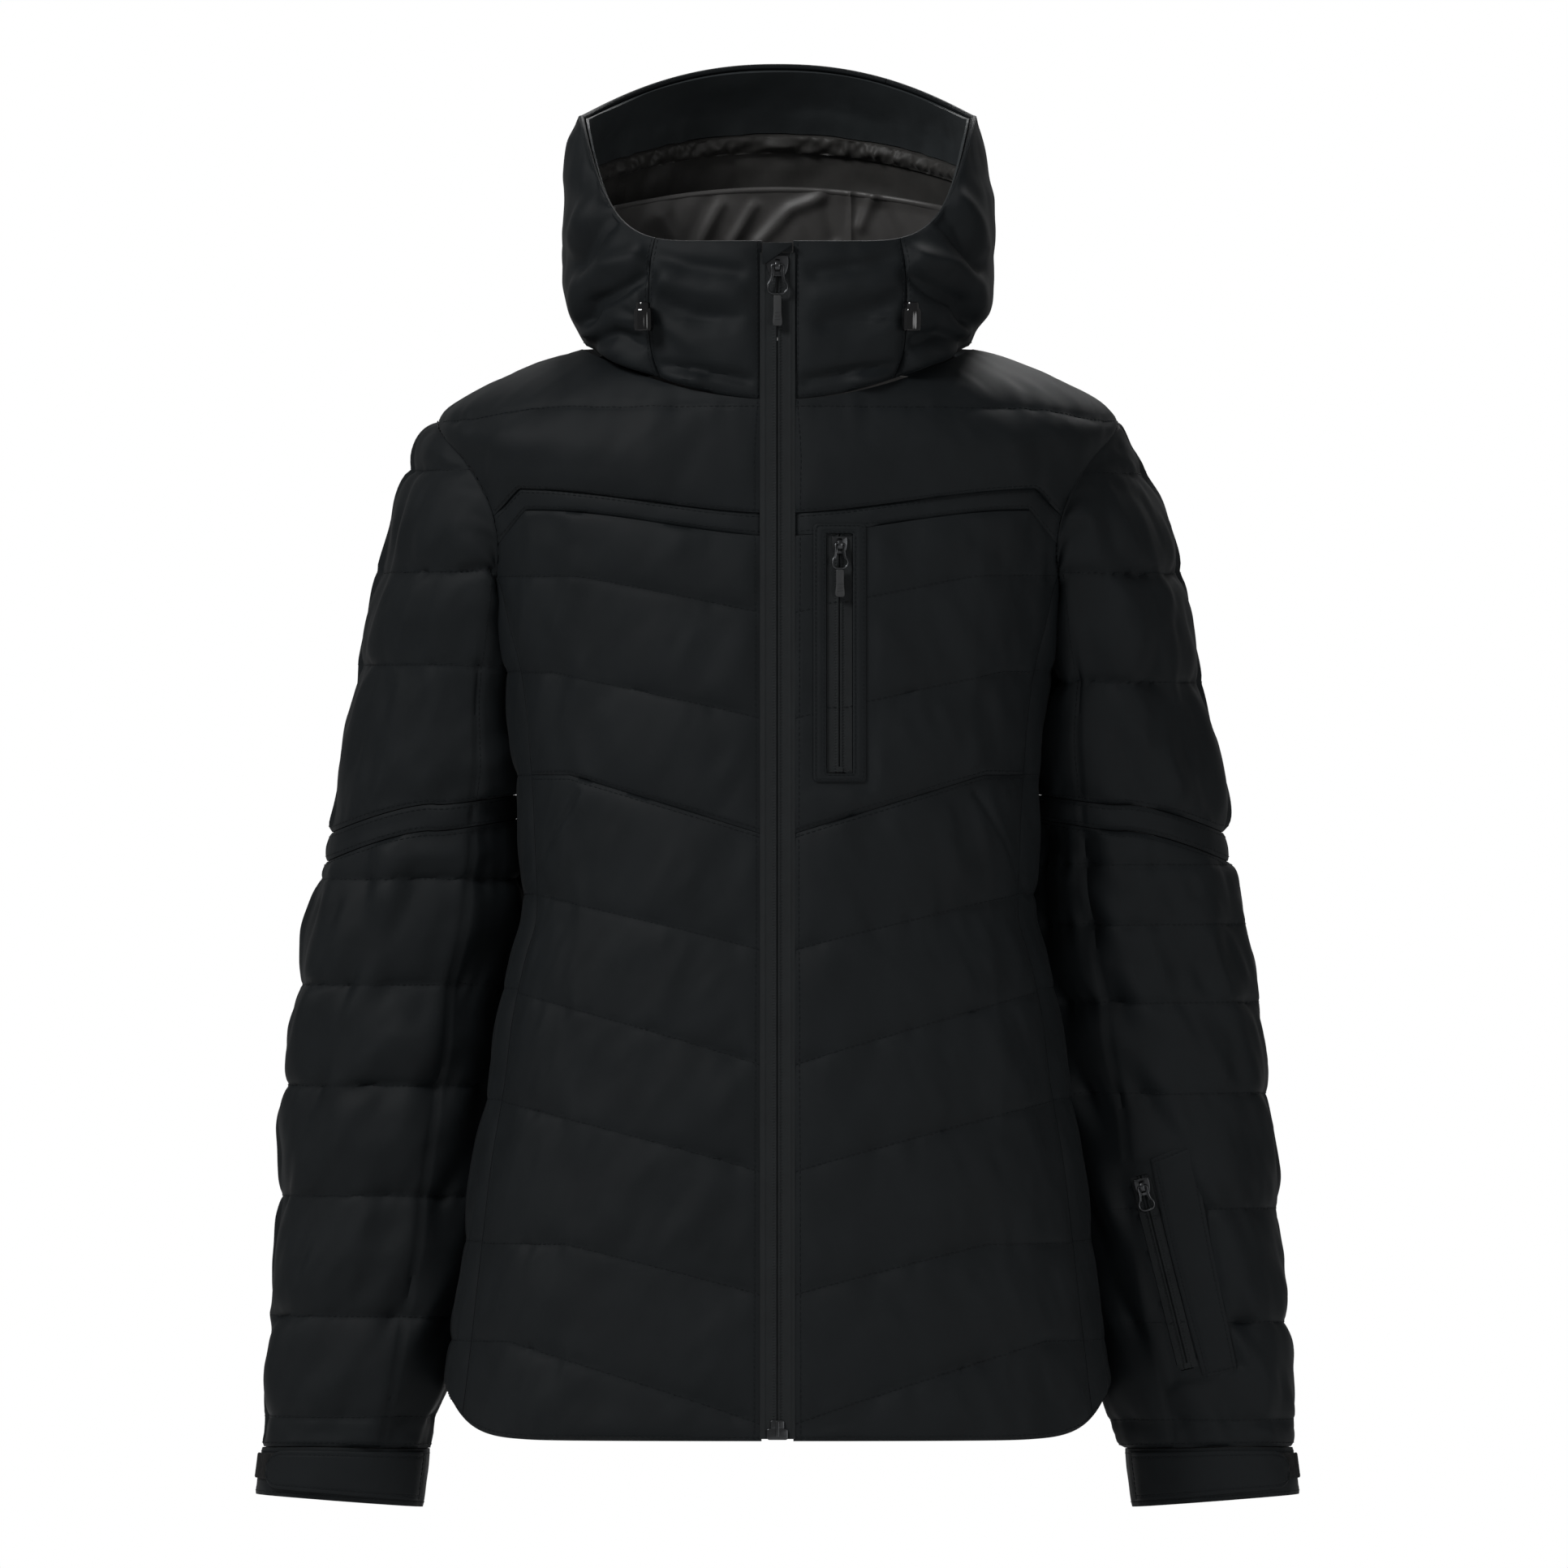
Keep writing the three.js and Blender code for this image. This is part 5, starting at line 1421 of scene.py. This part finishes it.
# chest pocket frame
def frameStrip(inner, outer, low, high, face, thick):
    # a stitched welt round a window: a closed band of cloth with rolled edges
    stepsPerSide = 60
    rings = []
    for share in np.linspace(0, 1, 9):
        w = mix(inner, outer, share)
        up, down = mix(0.0, 6.0, share), mix(0.0, 5.0, share)
        points = roundedBox(w, low - down, high + up, 0.4 + 1.6 * share, 4)
        closed = np.concatenate([points, points[:1]])
        arc = np.concatenate([[0], np.cumsum(np.linalg.norm(np.diff(closed, axis=0), axis=1))])
        at = np.linspace(0, arc[-1], stepsPerSide * 4, endpoint=False)
        rings.append(np.stack([np.interp(at, arc, closed[:, 0]), np.interp(at, arc, closed[:, 1])], -1))
    flat = np.stack(rings)
    edge = np.minimum(np.linspace(0, 1, 9), 1 - np.linspace(0, 1, 9))[:, None] * (outer - inner)
    groove = 0.4 * np.exp(-((edge - 2.0) / 0.9) ** 2) + 0.6 * np.exp(-edge / 0.6)
    x, z = flat[..., 0], flat[..., 1]
    return x, z, face + groove + 0 * x, face + thick + 0 * x


pocketFrame = {"inner": 8.1, "outer": 16.0, "face": -1.5, "thick": 1.2}
x, z, front, back = frameStrip(pocketFrame["inner"], pocketFrame["outer"], -chestLength, -0.1,
                               pocketFrame["face"], pocketFrame["thick"])
height = z + chestZip["top"] + 0 * x
centreX = chestZip["across"]
surfacePoint = bodySurface(turnAt(centreX + x, height), height)
surfaceNormal = outward(bodySurface, turnAt(centreX + x, height), height, 0.5, 0.5)
weltFront = surfacePoint - surfaceNormal * front[..., None]
weltBack = surfacePoint - surfaceNormal * back[..., None]
welt = {"base": surfacePoint, "normal": surfaceNormal, "front": weltFront, "back": weltBack, "ring": None,
        "draft": surfacePoint, "faces": gridFaces(*x.shape, wrap=True), "wrap": True}
sewn = [part for edge in ("low", "high")
        for part in edgeStitches(welt, edge, 1.9, length=1.9, pitch=2.8, radius=0.24)]
obj = finishPanel("chest_pocket_frame", welt, shellCloth, sewn)
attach(obj, "body")
frameLong = (chestLength + 10.9) / 1000
flatSizes["chest_pocket_frame"] = (0.032, round(frameLong, 4), round(flatArea(welt), 5))


# cord locks and hang loop
cordLock = {"share": 0.42, "standOff": 6.3}    # place along the hood's edge seam, and off its face


def lockFrame():
    turn, share = np.float64(cut["chinTurn"]), np.float64(cordLock["share"])
    way = outward(hoodSurface, turn, share, 0.5, 0.01)
    up = spin(hoodSurface(turn, share + 0.1) - hoodSurface(turn, share - 0.1), -1)
    across = spin(np.cross(up, way), -1)
    return np.stack([across, np.cross(up, across), up]), hoodSurface(turn, share) + way * cordLock["standOff"]


barrelLine = [(0.01, -7), (4.6, -7), (5.6, -6.5), (6, -5.4), (6, 5.2), (5.75, 6.4), (5.3, 7),
              (4.9, 7), (4.7, 6.6), (4.7, -1.2), (4.4, -1.5), (0.01, -1.5)]
buttonLine = [(0.01, 2), (4.1, 2), (4.4, 2.3), (4.4, 9.6), (4.0, 10.6), (3.0, 11), (1.6, 10.8), (0.01, 10.7)]
for side, label in ((1, "left"), (-1, "right")):
    barrel = lathe(barrelLine, lockFrame(), 48, 12)
    button = lathe(buttonLine, lockFrame(), 40)
    if side < 0:
        barrel, button = mirrorPart(barrel), mirrorPart(button)
    hardware(f"cord_lock_{label}", barrel, lockPlastic, "body")
    hardware(f"cord_lock_button_{label}", button, lockPlastic, f"lock_button_{label}")

hangLoop = {"half": 26.0, "height": 712.0, "hangs": 13.0, "width": 5.0, "thick": 1.5}
loopBack = bodyBack(neck) - 9.2
loopPath = smoothPath([(along * hangLoop["half"], loopBack - down * hangLoop["hangs"], hangLoop["height"])
                       for along, down in ((-1, 0), (-0.8, 0.6), (0, 1), (0.8, 0.6), (1, 0))], 60)
alongLoop = spin(np.gradient(loopPath, axis=0), -1)
offLoop = np.stack([alongLoop[:, 1], -alongLoop[:, 0], 0 * alongLoop[:, 0]], -1)
edgeRound = hangLoop["thick"] / 2 * np.sqrt(np.clip(1 - np.linspace(-1, 1, 11) ** 8, 0.05, 1))
heights = np.linspace(-hangLoop["width"] / 2, hangLoop["width"] / 2, 11)
rib = 1 + 0.10 * np.cos(np.linspace(0, 8 * math.pi, 11))
swell = offLoop[None] * (edgeRound * rib)[:, None, None]
raised = np.array([0, 0, 1.0]) * heights[:, None, None]
front = loopPath[None] + swell + raised
back = loopPath[None] - swell + raised
hardware("hang_loop", closedBetween(front, back, gridFaces(11, 60)), tapeCloth, "body")
print("hardware made")

# camera, lights and floor
studio = {
    "floorRadius": 1.5, "floorHeight": -0.80, "paper": 0.86,
    "cameraPlace": (0.004, -20.0, -0.2665), "lens": 743, "sensor": 36,
    "lightsJacket": 0.22, "seenByCamera": 1.0,    # the background's strength
}
bpy.ops.mesh.primitive_circle_add(vertices=128, radius=studio["floorRadius"], fill_type="NGON",
                                  location=(0, 0, 0))
floor = bpy.context.object
floor.name = "floor"
floor.location.z = studio["floorHeight"]
paper = bpy.data.materials.new("white_paper")
paper.use_nodes = True
paperShader = paper.node_tree.nodes["Principled BSDF"]
paperShader.inputs["Base Color"].default_value = (studio["paper"], studio["paper"], studio["paper"], 1)
paperShader.inputs["Roughness"].default_value = 0.9
floor.data.materials.append(paper)
camera = bpy.data.objects.new("camera", bpy.data.cameras.new("camera"))
scene.collection.objects.link(camera)
camera.data.lens = studio["lens"]
camera.data.sensor_width = studio["sensor"]
camera.location = studio["cameraPlace"]
camera.rotation_euler = (math.radians(90), 0, 0)
scene.camera = camera


def areaLight(name, place, aim, size, power):
    lamp = bpy.data.lights.new(name, "AREA")
    lamp.shape, lamp.size, lamp.energy = "DISK", size, power
    obj = bpy.data.objects.new(name, lamp)
    scene.collection.objects.link(obj)
    obj.location = place
    way = np.array(aim) - np.array(place)
    tilt = math.acos(-way[2] / np.linalg.norm(way))
    obj.rotation_euler = (tilt, 0, math.atan2(way[1], way[0]) - math.pi / 2)
    return obj


areaLight("key", (-1.7, -1.7, 1.7), (0, 0, -0.25), 0.9, 68)
areaLight("fill", (1.6, -2.4, -0.3), (0, 0, -0.4), 1.4, 17)
areaLight("rim", (0.4, 1.6, 1.8), (0, 0, -0.1), 1.2, 30)
world = bpy.data.worlds.new("studio")
world.use_nodes = True
backdrop = world.node_tree.nodes["Background"]
rays = world.node_tree.nodes.new("ShaderNodeLightPath")
strength = world.node_tree.nodes.new("ShaderNodeMapRange")
strength.inputs["To Min"].default_value = studio["lightsJacket"]
strength.inputs["To Max"].default_value = studio["seenByCamera"]     # white paper
backdrop.inputs["Color"].default_value = (1, 1, 1, 1)
world.node_tree.links.new(rays.outputs["Is Camera Ray"], strength.inputs["Value"])
world.node_tree.links.new(strength.outputs["Result"], backdrop.inputs["Strength"])
scene.world = world
scene.view_settings.view_transform = "Standard"
scene.view_settings.look = "None"
